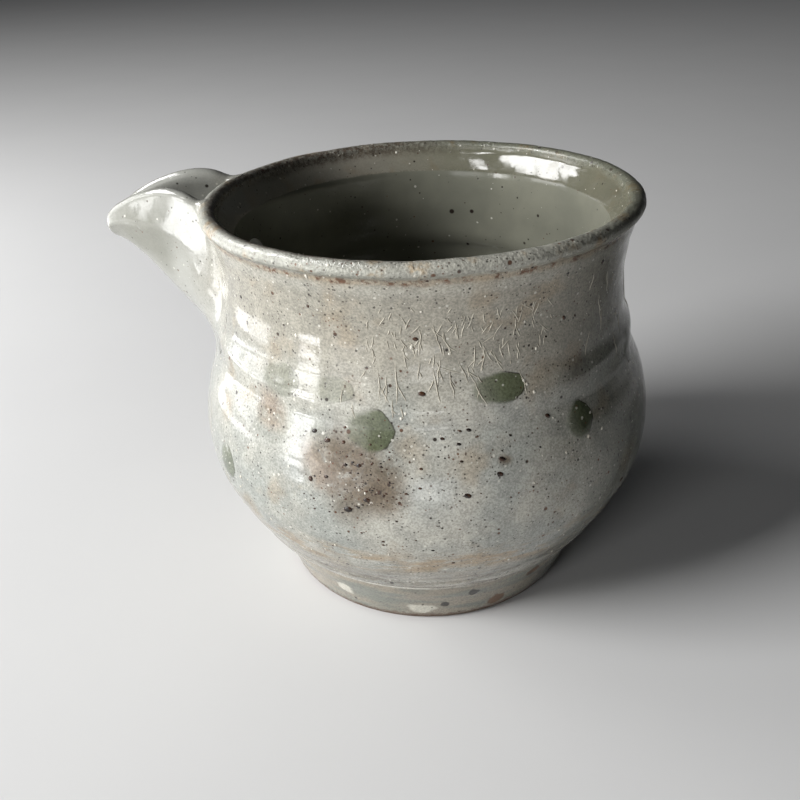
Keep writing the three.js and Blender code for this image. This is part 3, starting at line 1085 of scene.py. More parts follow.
@dataclass
class Lathe:
    """A profile turned round the potter's axis by Geometry Nodes, with the wander of thrown clay.

    Attributes:
        name: the tree's name
        pot: where the axis is
        segments: columns round the pot
        wander: how far the wall is out of round, in mm
        rings: depth of the throwing rings, in mm
        lumps: height of small unevenness, in mm
        lift_near: how much higher the rim is on the -Y side, in mm
        lift_right: how much higher it is on the +X side, in mm
        rim_height: height of the rim, in mm
        tilted: how far down from the rim the wall follows the tilt, in mm
        waist: radius at which the slow noises are read, so that they close round the pot, in mm
        recipe: the tree
    """

    name: str
    pot: PotFrame
    segments: int
    wander: float
    rings: float
    lumps: float
    lift_near: float = 0.0
    lift_right: float = 0.0
    rim_height: float = 84.0
    tilted: float = 14.0
    waist: float = 42.0
    recipe: NodeRecipe = field(init=False)

    def __post_init__(self) -> None:
        """Opens the tree."""
        self.recipe = NodeRecipe(self.name)

    def base(self, name: str, profile: Sequence[tuple[float, float, Skin]]) -> Piece:
        """The object that holds the profile, radius along X and height along Z.

        Args:
            name: the object's name
            profile: radius and height in mm, and the skin, from the underside's middle to the floor's

        Returns:
            The object
        """
        obj = new_object(name, [(r * MM, 0.0, z * MM) for r, z, _ in profile])
        write_attribute(obj, "skin", (skin.value for _, _, skin in profile))
        return obj

    def turn(self) -> None:
        """Sweeps the profile round the axis: a grid with one column an angle and one row a profile point."""
        recipe, sheet = self.recipe, self.recipe.sheet
        profile = recipe.geometry
        segments = recipe.given("Segments", self.segments, "Int")
        axis = recipe.given("Axis X", self.pot.axis_x * MM)
        size = sheet.add("GeometryNodeAttributeDomainSize", {"Geometry": profile}, component="MESH")
        rows = size.outputs["Point Count"]
        counts = {"Vertices X": sheet.whole("ADD", segments, 1), "Vertices Y": rows}
        recipe.geometry = sheet.add("GeometryNodeMeshGrid", counts).outputs["Mesh"]
        number = sheet.first("GeometryNodeInputIndex")
        row = sheet.whole("MODULO", number, rows)
        column = sheet.whole("DIVIDE_FLOOR", number, rows)
        angle = sheet.times(sheet.math("DIVIDE", column, segments), FULL_TURN)
        place = sheet.first("GeometryNodeInputPosition")
        sampled = {"Geometry": profile, "Value": place, "Index": row}
        point = sheet.first("GeometryNodeSampleIndex", sampled, data_type="FLOAT_VECTOR")
        radius, _, height = sheet.parts(point)
        sampled = {"Geometry": profile, "Value": sheet.stored("skin"), "Index": row}
        recipe.store("skin", sheet.first("GeometryNodeSampleIndex", sampled, data_type="FLOAT"))
        recipe.store("level", sheet.math("DIVIDE", height, MM))
        x = sheet.math("MULTIPLY_ADD", sheet.math("COSINE", angle), radius, axis)
        y = sheet.times(sheet.math("SINE", angle), radius)
        recipe.step("GeometryNodeSetPosition", {"Position": sheet.join(x, y, height)})
        recipe.step("GeometryNodeMergeByDistance", {"Distance": 0.001 * MM})

    def local(self) -> Socket:
        """A point's place in mm about the potter's axis."""
        sheet = self.recipe.sheet
        place = sheet.first("GeometryNodeInputPosition")
        centred = sheet.vector("SUBTRACT", place, (self.pot.axis_x * MM, 0.0, 0.0))
        return sheet.vector("SCALE", centred, 1 / MM)

    def throw(self) -> None:
        """Lets the turned wall wander, gives it rings, and tilts its rim."""
        recipe, sheet = self.recipe, self.recipe.sheet
        wander = recipe.given("Wander", self.wander)
        rings = recipe.given("Ring depth", self.rings)
        near = recipe.given("Lift near", self.lift_near)
        right = recipe.given("Lift right", self.lift_right)
        x, y, z = sheet.parts(self.local())
        flat = sheet.join(x, y)
        out = sheet.vector("NORMALIZE", flat)
        across, ahead, _ = sheet.parts(out)
        belt = sheet.vector("SCALE", out, self.waist)
        slow = sheet.swing(sheet.vector("ADD", belt, sheet.join(z=z)), 60.0, wander, 1.0)
        pace = sheet.plus(z, sheet.swing(belt, 50.0, 1.5, 1.0))
        along = {"W": pace, "Scale": 0.16, "Detail": 2.0}
        line = sheet.first("ShaderNodeTexNoise", along, noise_dimensions="1D")
        ring = sheet.times(sheet.math("MULTIPLY_ADD", line, 2.0, -1.0), rings)
        reach = sheet.ramp(sheet.vector("LENGTH", flat), 8.0, 26.0)
        push = sheet.times(sheet.plus(slow, ring), reach)
        tilt = sheet.math("SUBTRACT", sheet.times(across, right), sheet.times(ahead, near))
        tilt = sheet.plus(tilt, sheet.swing(belt, 16.0, 0.28, 2.0))
        rise = sheet.times(tilt, sheet.ramp(z, self.rim_height - self.tilted, self.rim_height))
        recipe.move(sheet.vector("ADD", sheet.vector("SCALE", out, push), sheet.join(z=rise)))

    def roughen(self, size: float, chosen: Any = 1.0) -> None:
        """Small lumps along the surface's own direction.

        Args:
            size: their width in mm
            chosen: how strong they are, a number or a socket
        """
        recipe, sheet = self.recipe, self.recipe.sheet
        height = recipe.given(f"Lumps of {size} mm", self.lumps)
        swing = sheet.times(sheet.swing(self.local(), size, height), chosen)
        normal = sheet.first("GeometryNodeInputNormal")
        recipe.move(sheet.vector("SCALE", normal, swing))

    def dress(self, name: str, glaze: Material, clay: Material) -> None:
        """Smooths the faces and covers them.

        Args:
            name: the glaze's input
            glaze: covers what is seen of the pot on its foot
            clay: shows underneath
        """
        sheet = self.recipe.sheet
        self.recipe.smooth()
        bare = {0: sheet.stored("skin"), 1: BARE_FROM}
        bare = sheet.first("FunctionNodeCompare", bare, operation="GREATER_THAN")
        self.recipe.paint(name, glaze)
        self.recipe.paint("Bare clay", clay, bare)


@dataclass
class ThrownBody:
    """The thrown bowl: belly, neck, rolled rim with its flared lip, floor and the boss that the foot holds.

    Attributes:
        pot: where the axis is
        outside: outside radius over the height, in mm
        wall: thickness of the wall
        rim_centre: radius and height of the rolled rim's middle
        roll: half the roll's width and half its height
        lip: radius and height of the crisp edge inside the lip
        floor: height of the floor
        under: height of the underside
        boss: radius of the boss inside the foot ring
        corner: height over the floor at which the inside wall turns into it
        corner_width: how far that turn reaches towards the axis
        segments: columns round the pot
    """

    pot: PotFrame
    outside: SmoothCurve = SmoothCurve(
        (
            (13.8, 39.6), (15.2, 41.0), (16.6, 42.0), (18.4, 42.75), (20.0, 43.75), (22.0, 45.0),
            (25.0, 46.35), (28.5, 47.9), (32.0, 49.0), (36.5, 49.5), (44.0, 48.8), (50.5, 46.8),
            (53.3, 45.45), (55.4, 44.65), (57.6, 44.5), (59.4, 44.3), (61.2, 43.5), (63.0, 42.85),
            (66.0, 42.45), (72.5, 41.9), (78.0, 42.6), (81.5, 43.5), (83.4, 44.0),
        )
    )
    wall: float = 4.1
    rim_centre: tuple[float, float] = (43.25, 84.5)
    roll: tuple[float, float] = (1.7, 1.45)
    lip: tuple[float, float] = (38.9, 80.3)
    floor: float = 14.5
    under: float = 8.0
    boss: float = 29.0
    corner: float = 9.0
    corner_width: float = 14.0
    segments: int = 400

    def inner(self, height: np.ndarray) -> np.ndarray:
        """Inside radius of the wall at a height, in mm."""
        return self.outside.at(height) - self.wall * np.sqrt(1 + self.outside.slope(height) ** 2)

    def profile(self) -> list[tuple[float, float, Skin]]:
        """Radius, height and skin from the underside's middle, over the rim, to the middle of the floor."""
        bare = [(r, self.under) for r in np.linspace(0.0, self.boss - 0.6, 14)]
        bare += [(self.boss - 0.15, self.under + 0.15), (self.boss, self.under + 0.6), (self.boss, 10.5)]
        bare += [(self.boss, 12.4), (self.boss + 0.6, 12.95), (34.0, 12.95), (38.2, 12.95)]
        shown = [(38.9, 13.0), (39.3, 13.2), (39.5, 13.5)]
        heights = np.linspace(13.8, 82.9, 96)
        shown += list(zip(self.outside.at(heights), heights))
        centre, middle = self.rim_centre
        across, tall = self.roll
        for degrees in np.linspace(-58.0, 172.0, 28):
            a = math.radians(degrees)
            shown.append((centre + across * math.cos(a), middle + tall * math.sin(a)))
        shown += self.lip_line()
        within = self.inside_line()
        rows = [(r, z, Skin.BARE) for r, z in bare]
        rows += [(r, z, Skin.OUTSIDE) for r, z in shown]
        rows += [(r, z, Skin.INSIDE) for r, z in within]
        return [(float(r), float(z), skin) for r, z, skin in rows]

    def lip_line(self) -> list[tuple[float, float]]:
        """The flared lip from the roll down to its crisp edge, a little full."""
        radius, height = self.lip
        start = (self.rim_centre[0] - self.roll[0], self.rim_centre[1] - 0.3)
        line = []
        for share in np.linspace(0.08, 0.94, 7):
            sag = -0.06 * math.sin(math.pi * share)
            r = start[0] + (radius - start[0]) * share + sag
            line.append((r, start[1] + (height - start[1]) * share - 0.6 * sag))
        return line + [(radius + 0.05, height + 0.05), (radius - 0.12, height - 0.25)]

    def inside_line(self) -> list[tuple[float, float]]:
        """The inside wall from under the lip to the middle of the floor."""
        turn = self.floor + self.corner
        heights = np.linspace(self.lip[1] - 0.9, turn, 50)
        line = list(zip(self.inner(heights) - 0.1, heights))
        edge = float(self.inner(np.array(turn))) - 0.1
        for degrees in np.linspace(8.0, 90.0, 12):
            a = math.radians(degrees)
            inwards = self.corner_width * (1 - math.cos(a)) * 1.15
            line.append((edge - inwards, turn - (turn - self.floor - 0.3) * math.sin(a)))
        last = line[-1][0]
        line += [(r, self.floor + 0.3 * (r / last) ** 2) for r in np.linspace(last * 0.93, 0.0, 14)]
        return line

    def throw(self, glaze: Material, clay: Material) -> Piece:
        """Builds the body without its pour hole.

        Args:
            glaze: covers the outside and the inside
            clay: shows underneath

        Returns:
            The body
        """
        lathe = Lathe("throw_body", self.pot, self.segments, 0.26, 0.13, 0.06, 0.78, 0.4)
        obj = lathe.base("thrown_body_visual", self.profile())
        lathe.turn()
        lathe.throw()
        self.swell(lathe)
        sheet = lathe.recipe.sheet
        lathe.roughen(7.0)
        rim = sheet.ramp(sheet.parts(lathe.local())[2], 81.5, 83.5, 0.25, 2.0)
        lathe.roughen(1.9, rim)
        lathe.dress("Glaze", glaze, clay)
        return lathe.recipe.make(obj)

    def swell(self, lathe: Lathe) -> None:
        """Raises the pools of glass a little out of the wall, with lathe's tree."""
        sheet = lathe.recipe.sheet
        place = lathe.local()
        total: Any = 0.0
        for pool in POOLS:
            gap = sheet.vector("SUBTRACT", place, wall_place(self.outside, pool.azimuth, pool.height))
            dome = sheet.ramp(sheet.oval(gap, pool.across, pool.tall), 1.1, 0.55, 0.0, pool.swell)
            total = sheet.plus(total, dome)
        normal = sheet.first("GeometryNodeInputNormal")
        lathe.recipe.move(sheet.vector("SCALE", normal, total))


@dataclass
class PourHole:
    """The hole through the wall under the rim, that the spout's trough is fed by.

    Attributes:
        pot: where the axis is
        body: the wall that it goes through
        half: half its width
        low: height of its bottom
        high: height of its top
        mouth: how far its two mouths are rounded over
        spare: how far the plug stands out of the wall on both sides
        corners: points round it
    """

    pot: PotFrame
    body: ThrownBody
    half: float = 5.6
    low: float = 60.2
    high: float = 73.0
    mouth: float = 1.0
    spare: float = 3.0
    corners: int = 48

    def outline(self) -> list[tuple[float, float]]:
        """The hole's outline across the spout: an arch over a half-oval."""
        arch = self.high - self.half
        points = []
        for a in np.linspace(0.0, FULL_TURN, self.corners, endpoint=False):
            rise = self.half if a < math.pi else arch - self.low
            points.append((self.half * math.cos(a), arch + rise * math.sin(a)))
        return points

    def cutter(self) -> Piece:
        """The plug that is cut out of the wall, wider at both mouths."""
        count = self.corners
        outline = self.outline()
        middle = Vector((0.0, (self.low + self.high) / 2))
        depths = [-self.spare, 0.0]
        depths += list(self.mouth * (1 - np.cos(np.linspace(0.25, math.pi / 2, 7))))
        depths += [self.body.wall - d for d in reversed(depths[2:])]
        depths += [self.body.wall, self.body.wall + self.spare]
        points = []
        for depth in depths:
            near = min(max(depth, 0.0), max(self.body.wall - depth, 0.0), self.mouth)
            grow = self.mouth - math.sqrt(self.mouth**2 - (self.mouth - near) ** 2)
            for y, z in outline:
                away = (Vector((y, z)) - middle).normalized()
                y, z = y + away.x * grow, z + away.y * grow
                radius = float(self.body.outside.at(z)) - depth
                points.append((self.pot.axis_x - radius, y, z))
        faces = tube_faces(len(depths), count)
        faces.append(tuple(reversed(range(count))))
        faces.append(tuple(range((len(depths) - 1) * count, len(depths) * count)))
        obj = new_object("pour_hole_cutter", [Vector(p) * MM for p in points], (), faces)
        outward_faces(obj)
        return obj

    def cut(self, obj: Piece) -> Piece:
        """Cuts the hole.

        Args:
            obj: the body

        Returns:
            The body, cut
        """
        cutter = self.cutter()
        recipe = NodeRecipe("cut_pour_hole")
        sheet = recipe.sheet
        tool = sheet.add("GeometryNodeObjectInfo", {"Object": recipe.given("Cutter", cutter, "Object")})
        cut = {"Mesh 1": recipe.geometry, "Mesh 2": tool.outputs["Geometry"]}
        boolean = sheet.add("GeometryNodeMeshBoolean", cut, operation="DIFFERENCE", solver="MANIFOLD")
        recipe.geometry = boolean.outputs[0]
        recipe.smooth()
        recipe.make(obj)
        bpy.data.objects.remove(cutter)
        return obj


def outward_faces(obj: Piece, merge: float = 0.0) -> None:
    """Merges doubled points and turns the faces outwards.

    Args:
        obj: holds the mesh
        merge: how near points are merged, in metres
    """
    mesh = bmesh.new()
    mesh.from_mesh(obj.data)
    if merge:
        bmesh.ops.remove_doubles(mesh, verts=mesh.verts, dist=merge)
    bmesh.ops.recalc_face_normals(mesh, faces=mesh.faces)
    mesh.to_mesh(obj.data)
    mesh.free()


@dataclass
class FootRing:
    """The foot ring that was turned and joined under the body.

    Attributes:
        pot: where the axis is
        outside: outside radius over the height
        inside: inside radius
        height: top of the ring
        edge: rounding of its two lower edges
        boss: radius of the step that takes the body's boss
        recess: height of that step
        segments: columns round the ring
    """

    pot: PotFrame
    outside: SmoothCurve = SmoothCurve(((0.0, 33.75), (3.0, 34.7), (7.0, 36.2), (10.5, 37.75), (12.9, 38.55)))
    inside: float = 28.3
    height: float = 12.9
    edge: float = 0.8
    boss: float = 29.15
    recess: float = 8.0
    segments: int = 320

    def profile(self) -> list[tuple[float, float, Skin]]:
        """Radius, height and skin from the recess, round the ring, back to the recess."""
        base = float(self.outside.at(0.0))
        bare = [(self.boss, self.recess)]
        bare += [(self.inside + 0.35, self.recess - 0.1), (self.inside, self.recess - 0.6)]
        bare += [(self.inside, z) for z in np.linspace(6.6, 1.6, 6)]
        for degrees in np.linspace(180.0, 270.0, 6):
            a = math.radians(degrees)
            bare.append((self.inside + self.edge * (1 + math.cos(a)), self.edge * (1 + math.sin(a))))
        bare += [(r, 0.0) for r in np.linspace(self.inside + 1.4, base - 1.4, 5)]
        shown = []
        for degrees in np.linspace(-90.0, -15.0, 7):
            a = math.radians(degrees)
            shown.append((base + 0.05 - self.edge * (1 - math.cos(a)), self.edge * (1 + math.sin(a))))
        heights = np.linspace(1.1, self.height - 0.35, 22)
        shown += list(zip(self.outside.at(heights), heights))
        hidden = [(38.3, self.height), (36.0, self.height), (33.0, self.height), (self.boss, self.height)]
        hidden += [(self.boss, self.recess + 2.5), (self.boss, self.recess)]
        rows = [(r, z, Skin.BARE) for r, z in bare]
        rows += [(r, z, Skin.OUTSIDE) for r, z in shown + hidden]
        return [(float(r), float(z), skin) for r, z, skin in rows]

    def build(self, glaze: Material, clay: Material) -> Piece:
        """Builds the ring.

        Args:
            glaze: covers its outside
            clay: shows on the contact ring and inside

        Returns:
            The foot ring
        """
        lathe = Lathe("turn_foot", self.pot, self.segments, 0.22, 0.10, 0.07)
        obj = lathe.base("foot_ring_visual", self.profile())
        lathe.turn()
        lathe.throw()
        sheet = lathe.recipe.sheet
        lift = sheet.ramp(sheet.parts(lathe.local())[2], 0.4, 2.0)
        lathe.roughen(6.0, lift)
        lathe.roughen(2.0, lift)
        lathe.dress("Foot glaze", glaze, clay)
        return lathe.recipe.make(obj)


@dataclass
class Spout:
    """The spout: a pinched trough with two side walls, open on top, that ends in a rounded pouring edge.

    Attributes:
        pot: where the axis is
        crest: height of the side walls' crests over the distance from the axis
        keel: height of the underside over the same distance
        half_width: half the width between the crests over the same distance
        wall: thickness of the side walls over the same distance
        floor: thickness under the trough over the same distance
        swell: how far the flanks stand out over the share of the way down, as the pinching left them
        flare: how much more they stand out at the root
        reach: distance of the pouring edge's lowest point
        rounding: radius of the pouring edge
        swept_back: how much nearer the pouring edge is at the crests
        flare_from: distance from the axis where the flare at the root starts
        flare_length: length over which it grows
        sunk: how far the root is sunk in the wall
        angles: points round the outside of a section
        crest_points: points over one crest
        stations: sections along the spout
    """

    pot: PotFrame
    crest: SmoothCurve = SmoothCurve(
        (
            (38.0, 84.6), (43.8, 85.3), (45.4, 85.9), (47.1, 86.7), (49.4, 87.3),
            (53.4, 87.35), (57.9, 86.3), (62.7, 84.4), (66.8, 81.8), (69.0, 79.6),
        )
    )
    keel: SmoothCurve = SmoothCurve(
        (
            (38.0, 42.0), (43.0, 48.2), (47.0, 52.3), (50.8, 56.8), (55.3, 62.3),
            (59.8, 68.0), (62.1, 70.6), (64.0, 72.5), (66.5, 74.3), (69.0, 75.5),
        )
    )
    half_width: SmoothCurve = SmoothCurve(((38.0, 11.2), (45.0, 9.8), (57.0, 6.9), (64.0, 5.1), (69.0, 3.9)))
    wall: SmoothCurve = SmoothCurve(((38.0, 3.2), (60.0, 3.1), (69.0, 2.6)))
    floor: SmoothCurve = SmoothCurve(((38.0, 3.8), (45.0, 3.8), (69.0, 2.3)))
    swell: SmoothCurve = SmoothCurve(
        ((0.0, -0.55), (0.1, 0.0), (0.28, 0.95), (0.42, 0.5), (0.7, 0.2), (1.0, 0.0))
    )
    flare: SmoothCurve = SmoothCurve(
        ((0.0, 0.0), (0.3, 0.0), (0.47, 1.5), (0.62, 1.7), (0.85, 0.6), (1.0, 0.0))
    )
    reach: float = 68.9
    rounding: float = 1.2
    swept_back: float = 0.5
    flare_from: float = 54.0
    flare_length: float = 9.0
    sunk: float = 1.5
    angles: int = 61
    crest_points: int = 9
    stations: int = 52

    def loop(self) -> np.ndarray:
        """The section's loop.

        Returns:
            One row a point: angle round the section, place across the wall (1 outside, -1 inside), crest lift
        """
        a = np.linspace(0.0, math.pi, self.angles)
        b = np.linspace(0.0, math.pi, self.crest_points + 2)[1:-1]
        outer = np.column_stack((a, np.ones_like(a), np.zeros_like(a)))
        far = np.column_stack((np.full_like(b, math.pi), np.cos(b), np.sin(b)))
        inner = np.column_stack((a[::-1], -np.ones_like(a), np.zeros_like(a)))
        near = np.column_stack((np.zeros_like(b), -np.cos(b), np.sin(b)))
        return np.vstack((outer, far, inner, near))

    def pouring_edge(self, angle: np.ndarray) -> np.ndarray:
        """Distance of the pouring edge from the axis, at angles round the section."""
        return self.reach - self.swept_back * np.abs(np.cos(angle)) ** 1.5

    def surface(self, loop: np.ndarray, along: np.ndarray) -> np.ndarray:
        """Points of the spout's surface, in mm about the potter's axis.

        Args:
            loop: rows of loop()
            along: distance from the axis, one a row

        Returns:
            One point a row
        """
        a, across, lift = loop.T
        left = np.clip((self.pouring_edge(a) - along) / self.rounding, 0.0, 1.0)
        open_ = np.sqrt(np.maximum(1 - (1 - left) ** 2, 0.0))
        half = self.wall.at(along) / 2
        thick = self.floor.at(along) * np.sqrt(1 + self.keel.slope(np.minimum(along, 68.5)) ** 2) / 2
        top = self.crest.at(along) - half
        middle = self.keel.at(along) + thick
        middle = np.minimum(middle, top - 0.4)
        width = self.half_width.at(along) + across * half * open_
        bottom = middle - across * thick * open_
        sine = np.clip(np.sin(a), 0.0, 1.0) ** 0.9
        z = top + lift * half * open_ - (top - bottom) * sine
        root = eased(np.clip((self.flare_from - along) / self.flare_length, 0.0, 1.0))
        deep = np.clip((top - bottom) / 20.0, 0.0, 1.0)
        out = self.swell.at(sine) * deep + self.flare.at(sine) * root
        return np.column_stack((-along, width * np.cos(a) + np.sign(np.cos(a)) * out, z))

    def point(self, row: np.ndarray, along: float) -> Vector:
        """One point of the surface in the row frame, in metres, from a row of loop()."""
        x, y, z = self.surface(row[None, :], np.array([along]))[0]
        return Vector((x + self.pot.axis_x, y, z)) * MM

    def meeting(self, probe: SurfaceProbe) -> np.ndarray:
        """Where each line of the spout comes down onto the body.

        Args:
            probe: the body's probe

        Returns:
            Distance from the axis, one a point of the loop
        """
        found = []
        for row in self.loop():
            low, high = 40.0, 60.0
            for _ in range(24):
                middle = (low + high) / 2
                if probe.distance(self.point(row, middle))[0] < 0:
                    low = middle
                else:
                    high = middle
            found.append(high)
        return np.array(found)

    def build(self, glaze: Material, starts: np.ndarray) -> Piece:
        """Builds the spout, its root sunk in the wall.

        Args:
            glaze: covers it
            starts: where each line meets the body

        Returns:
            The spout
        """
        loop = self.loop()
        tip = self.pouring_edge(loop[:, 0])
        roots = starts - self.sunk
        shares = 1 - (1 - np.linspace(0.0, 1.0, self.stations)) ** 1.7
        rings = [self.surface(loop, roots + (tip - roots) * share) for share in shares]
        points = [Vector((x + self.pot.axis_x, y, z)) * MM for x, y, z in np.vstack(rings)]
        points = [self.pinched(p) for p in points]
        count = len(loop)
        faces = tube_faces(len(rings), count)
        for k in range(self.angles - 1):
            inner = self.angles + self.crest_points + (self.angles - 1 - k)
            faces.append((k + 1, k, inner, inner - 1))
        for start in (self.angles - 1, 2 * self.angles + self.crest_points - 1):
            ends = [(start + i) % count for i in range(self.crest_points + 2)]
            faces.append(tuple(reversed(ends)))
        obj = new_object("spout_visual", points, (), faces)
        outward_faces(obj, 0.004 * MM)
        obj.data.polygons.foreach_set("use_smooth", [True] * len(obj.data.polygons))
        obj.data.materials.append(glaze)
        return obj

    def pinched(self, point: Vector) -> Vector:
        """A point moved a little, as fingers leave soft clay uneven."""
        push = 0.12 * MM * noise_vector(point / (11.0 * MM)).z
        push += 0.05 * MM * noise_vector(point / (4.0 * MM)).y
        return point + Vector((0.0, push if point.y < 0 else -push, push))


@dataclass
class SeamCoil:
    """The coil worked into the corner all round the spout: a smooth fillet between two surfaces.

    Attributes:
        pot: where the axis is
        spout: the spout
        flank: how far it reaches on the flanks
        under: how far it reaches under the keel
        over: how far it reaches at the crests
        within: how far it reaches inside the trough
        steps: points across it
        sunk: how far its edges dip under the surfaces
    """

    pot: PotFrame
    spout: Spout
    flank: float = 7.0
    under: float = 5.5
    over: float = 1.5
    within: float = 1.0
    steps: int = 15
    sunk: float = 0.03

    def reach(self, row: np.ndarray) -> float:
        """How far the fillet reaches at a row of the spout's loop, in mm."""
        angle, across, _ = row
        side = math.sin(angle)
        if across > 0.99:
            rise = eased(min(side / 0.55, 1.0))
            full = self.flank + (self.under - self.flank) * max(0.0, (side - 0.8) / 0.2)
            return self.over + (full - self.over) * rise
        share = (1 - across) / 2
        return self.over + (self.within - self.over) * share

    def settle_on(self, point: Vector, reach: float, body: SurfaceProbe, spout: SurfaceProbe) -> Vector:
        """Moves a point onto the smooth union of the two surfaces.

        Args:
            point: where it starts, in metres
            reach: width of the blend in metres
            body: the body's probe
            spout: the spout's probe

        Returns:
            The point on the fillet
        """
        for _ in range(7):
            to_body, body_out = body.distance(point)
            to_spout, spout_out = spout.distance(point)
            share = max(reach - abs(to_body - to_spout), 0.0) / reach
            height = min(to_body, to_spout) - share * share * reach / 4
            lean = 0.5 * share if to_body < to_spout else 1 - 0.5 * share
            away = (body_out * (1 - lean) + spout_out * lean).normalized()
            point = point - away * (height + self.sunk * MM * (1 - min(1.0, 6 * share)))
        return point

    def build(
        self, glaze: Material, starts: np.ndarray, body: SurfaceProbe, spout: SurfaceProbe
    ) -> Piece:
        """Builds the fillet as a closed band.

        Args:
            glaze: covers it
            starts: where each line of the spout meets the body
            body: the body's probe
            spout: the spout's probe

        Returns:
            The seam
        """
        loop = self.spout.loop()
        points = []
        for row, start in zip(loop, starts):
            corner = self.spout.point(row, float(start))
            body_out = body.distance(corner)[1]
            spout_out = spout.distance(self.spout.point(row, float(start) + 0.4))[1]
            reach = self.reach(row)
            on_body = (spout_out - body_out * spout_out.dot(body_out)).normalized()
            low = corner + on_body * reach * 1.25 * MM
            high = self.spout.point(row, float(start) + reach * 1.2)
            for t in np.linspace(0.0, 1.0, self.steps):
                guess = low * (1 - t) ** 2 + corner * 2 * t * (1 - t) + high * t**2
                points.append(self.settle_on(guess, reach * MM, body, spout))
            points.append(corner - (body_out + spout_out).normalized() * 0.9 * MM)
        width = self.steps + 1
        obj = new_object("seam_coil_visual", points, (), tube_faces(len(loop), width, closed=True))
        outward_faces(obj)
        mesh = obj.data
        mesh.polygons.foreach_set("use_smooth", [True] * len(mesh.polygons))
        ends = {0, self.steps - 1}
        for edge in mesh.edges:
            a, b = edge.vertices
            edge.use_edge_sharp = a % width == b % width and a % width in ends
        mesh.materials.append(glaze)
        return obj


class Speck(Enum):
    """Kinds of speck that stand in the glaze: points round and points from pole to pole."""

    IRON = (10, 6)
    SAND = (8, 5)


@dataclass
class GlazeSpecks:
    """Specks that stand in the glaze: a few at chosen places, and the rest scattered over the wall.

    Attributes:
        pot: where the axis is
        name: the piece's name
        kind: which speck
        chosen: azimuth, height and width of the chosen ones
        density: how many to a square centimetre are scattered
        small: least width in mm
        large: largest width in mm
        flat: height against width
        seed: for the scatter
        rarity: how much rarer the large ones are
    """

    pot: PotFrame
    name: str
    kind: Speck
    chosen: tuple[tuple[float, float, float], ...]
    density: float
    small: float
    large: float
    flat: float
    seed: int
    rarity: float = 2.2

    def build(self, material: Material, body: Piece, probe: SurfaceProbe) -> Piece:
        """Builds the specks.

        Args:
            material: covers them
            body: the surface that they lie on
            probe: its probe

        Returns:
            The specks as one piece
        """
        found = [probe.wall(self.pot, azimuth, height) for azimuth, height, _ in self.chosen]
        obj = new_object(self.name, [point for point, _ in found])
        write_attribute(obj, "facing", (tuple(out) for _, out in found), "FLOAT_VECTOR")
        write_attribute(obj, "width", (width for _, _, width in self.chosen))
        recipe = NodeRecipe(self.name + "_scatter")
        sheet = recipe.sheet
        seed = recipe.given("Seed", self.seed, "Int")
        wall = sheet.add("GeometryNodeObjectInfo", {"Object": recipe.given("Wall", body, "Object")})
        skin = sheet.stored("skin")
        glazed = sheet.first("FunctionNodeCompare", {0: skin, 1: GLAZED_BELOW}, operation="LESS_THAN")
        density = recipe.given("Density", self.density * 1e4)
        inputs = {"Mesh": wall.outputs["Geometry"], "Selection": glazed, "Density": density, "Seed": seed}
        strewn = sheet.add("GeometryNodeDistributePointsOnFaces", inputs)
        points = sheet.add("GeometryNodeMeshToPoints", {"Mesh": recipe.geometry}).outputs[0]
        recipe.geometry = strewn.outputs["Points"]
        recipe.store("facing", strewn.outputs["Normal"], "FLOAT_VECTOR")
        chance = sheet.add("FunctionNodeRandomValue", {"Seed": seed}, data_type="FLOAT").outputs[1]
        small, large = recipe.given("Least width", self.small), recipe.given("Largest width", self.large)
        share = sheet.math("POWER", chance, self.rarity)
        spread = sheet.times(share, sheet.math("SUBTRACT", large, small))
        recipe.store("width", sheet.plus(small, spread))
        both = sheet.add("GeometryNodeJoinGeometry")
        sheet.feed(both.inputs[0], points)
        sheet.feed(both.inputs[0], recipe.geometry)
        self.plant(recipe, both.outputs[0])
        recipe.paint("Finish", material)
        return recipe.make(obj)

    def plant(self, recipe: NodeRecipe, points: Socket) -> None:
        """Puts a flat round speck on each point.

        Args:
            recipe: the tree
            points: the points, with their facing and width
        """
        sheet = recipe.sheet
        facing = sheet.stored("facing", "FLOAT_VECTOR")
        width = sheet.stored("width")
        turned = sheet.add("FunctionNodeAlignRotationToVector", {"Vector": facing}, axis="Z")
        around, along = self.kind.value
        ball = sheet.add("GeometryNodeMeshUVSphere", {"Segments": around, "Rings": along, "Radius": 0.5 * MM})
        stretch = {2: 0.72, 3: 1.3, "Seed": 3}
        stretch = sheet.add("FunctionNodeRandomValue", stretch, data_type="FLOAT").outputs[1]
        long = sheet.times(width, stretch)
        short = sheet.math("DIVIDE", width, stretch)
        inputs = {
            "Points": points,
            "Instance": ball.outputs["Mesh"],
            "Rotation": turned.outputs[0],
            "Scale": sheet.join(long, short, sheet.times(width, self.flat)),
        }
        recipe.geometry = sheet.first("GeometryNodeInstanceOnPoints", inputs)
        recipe.step("GeometryNodeRealizeInstances")
        recipe.step("GeometryNodeSetShadeSmooth")


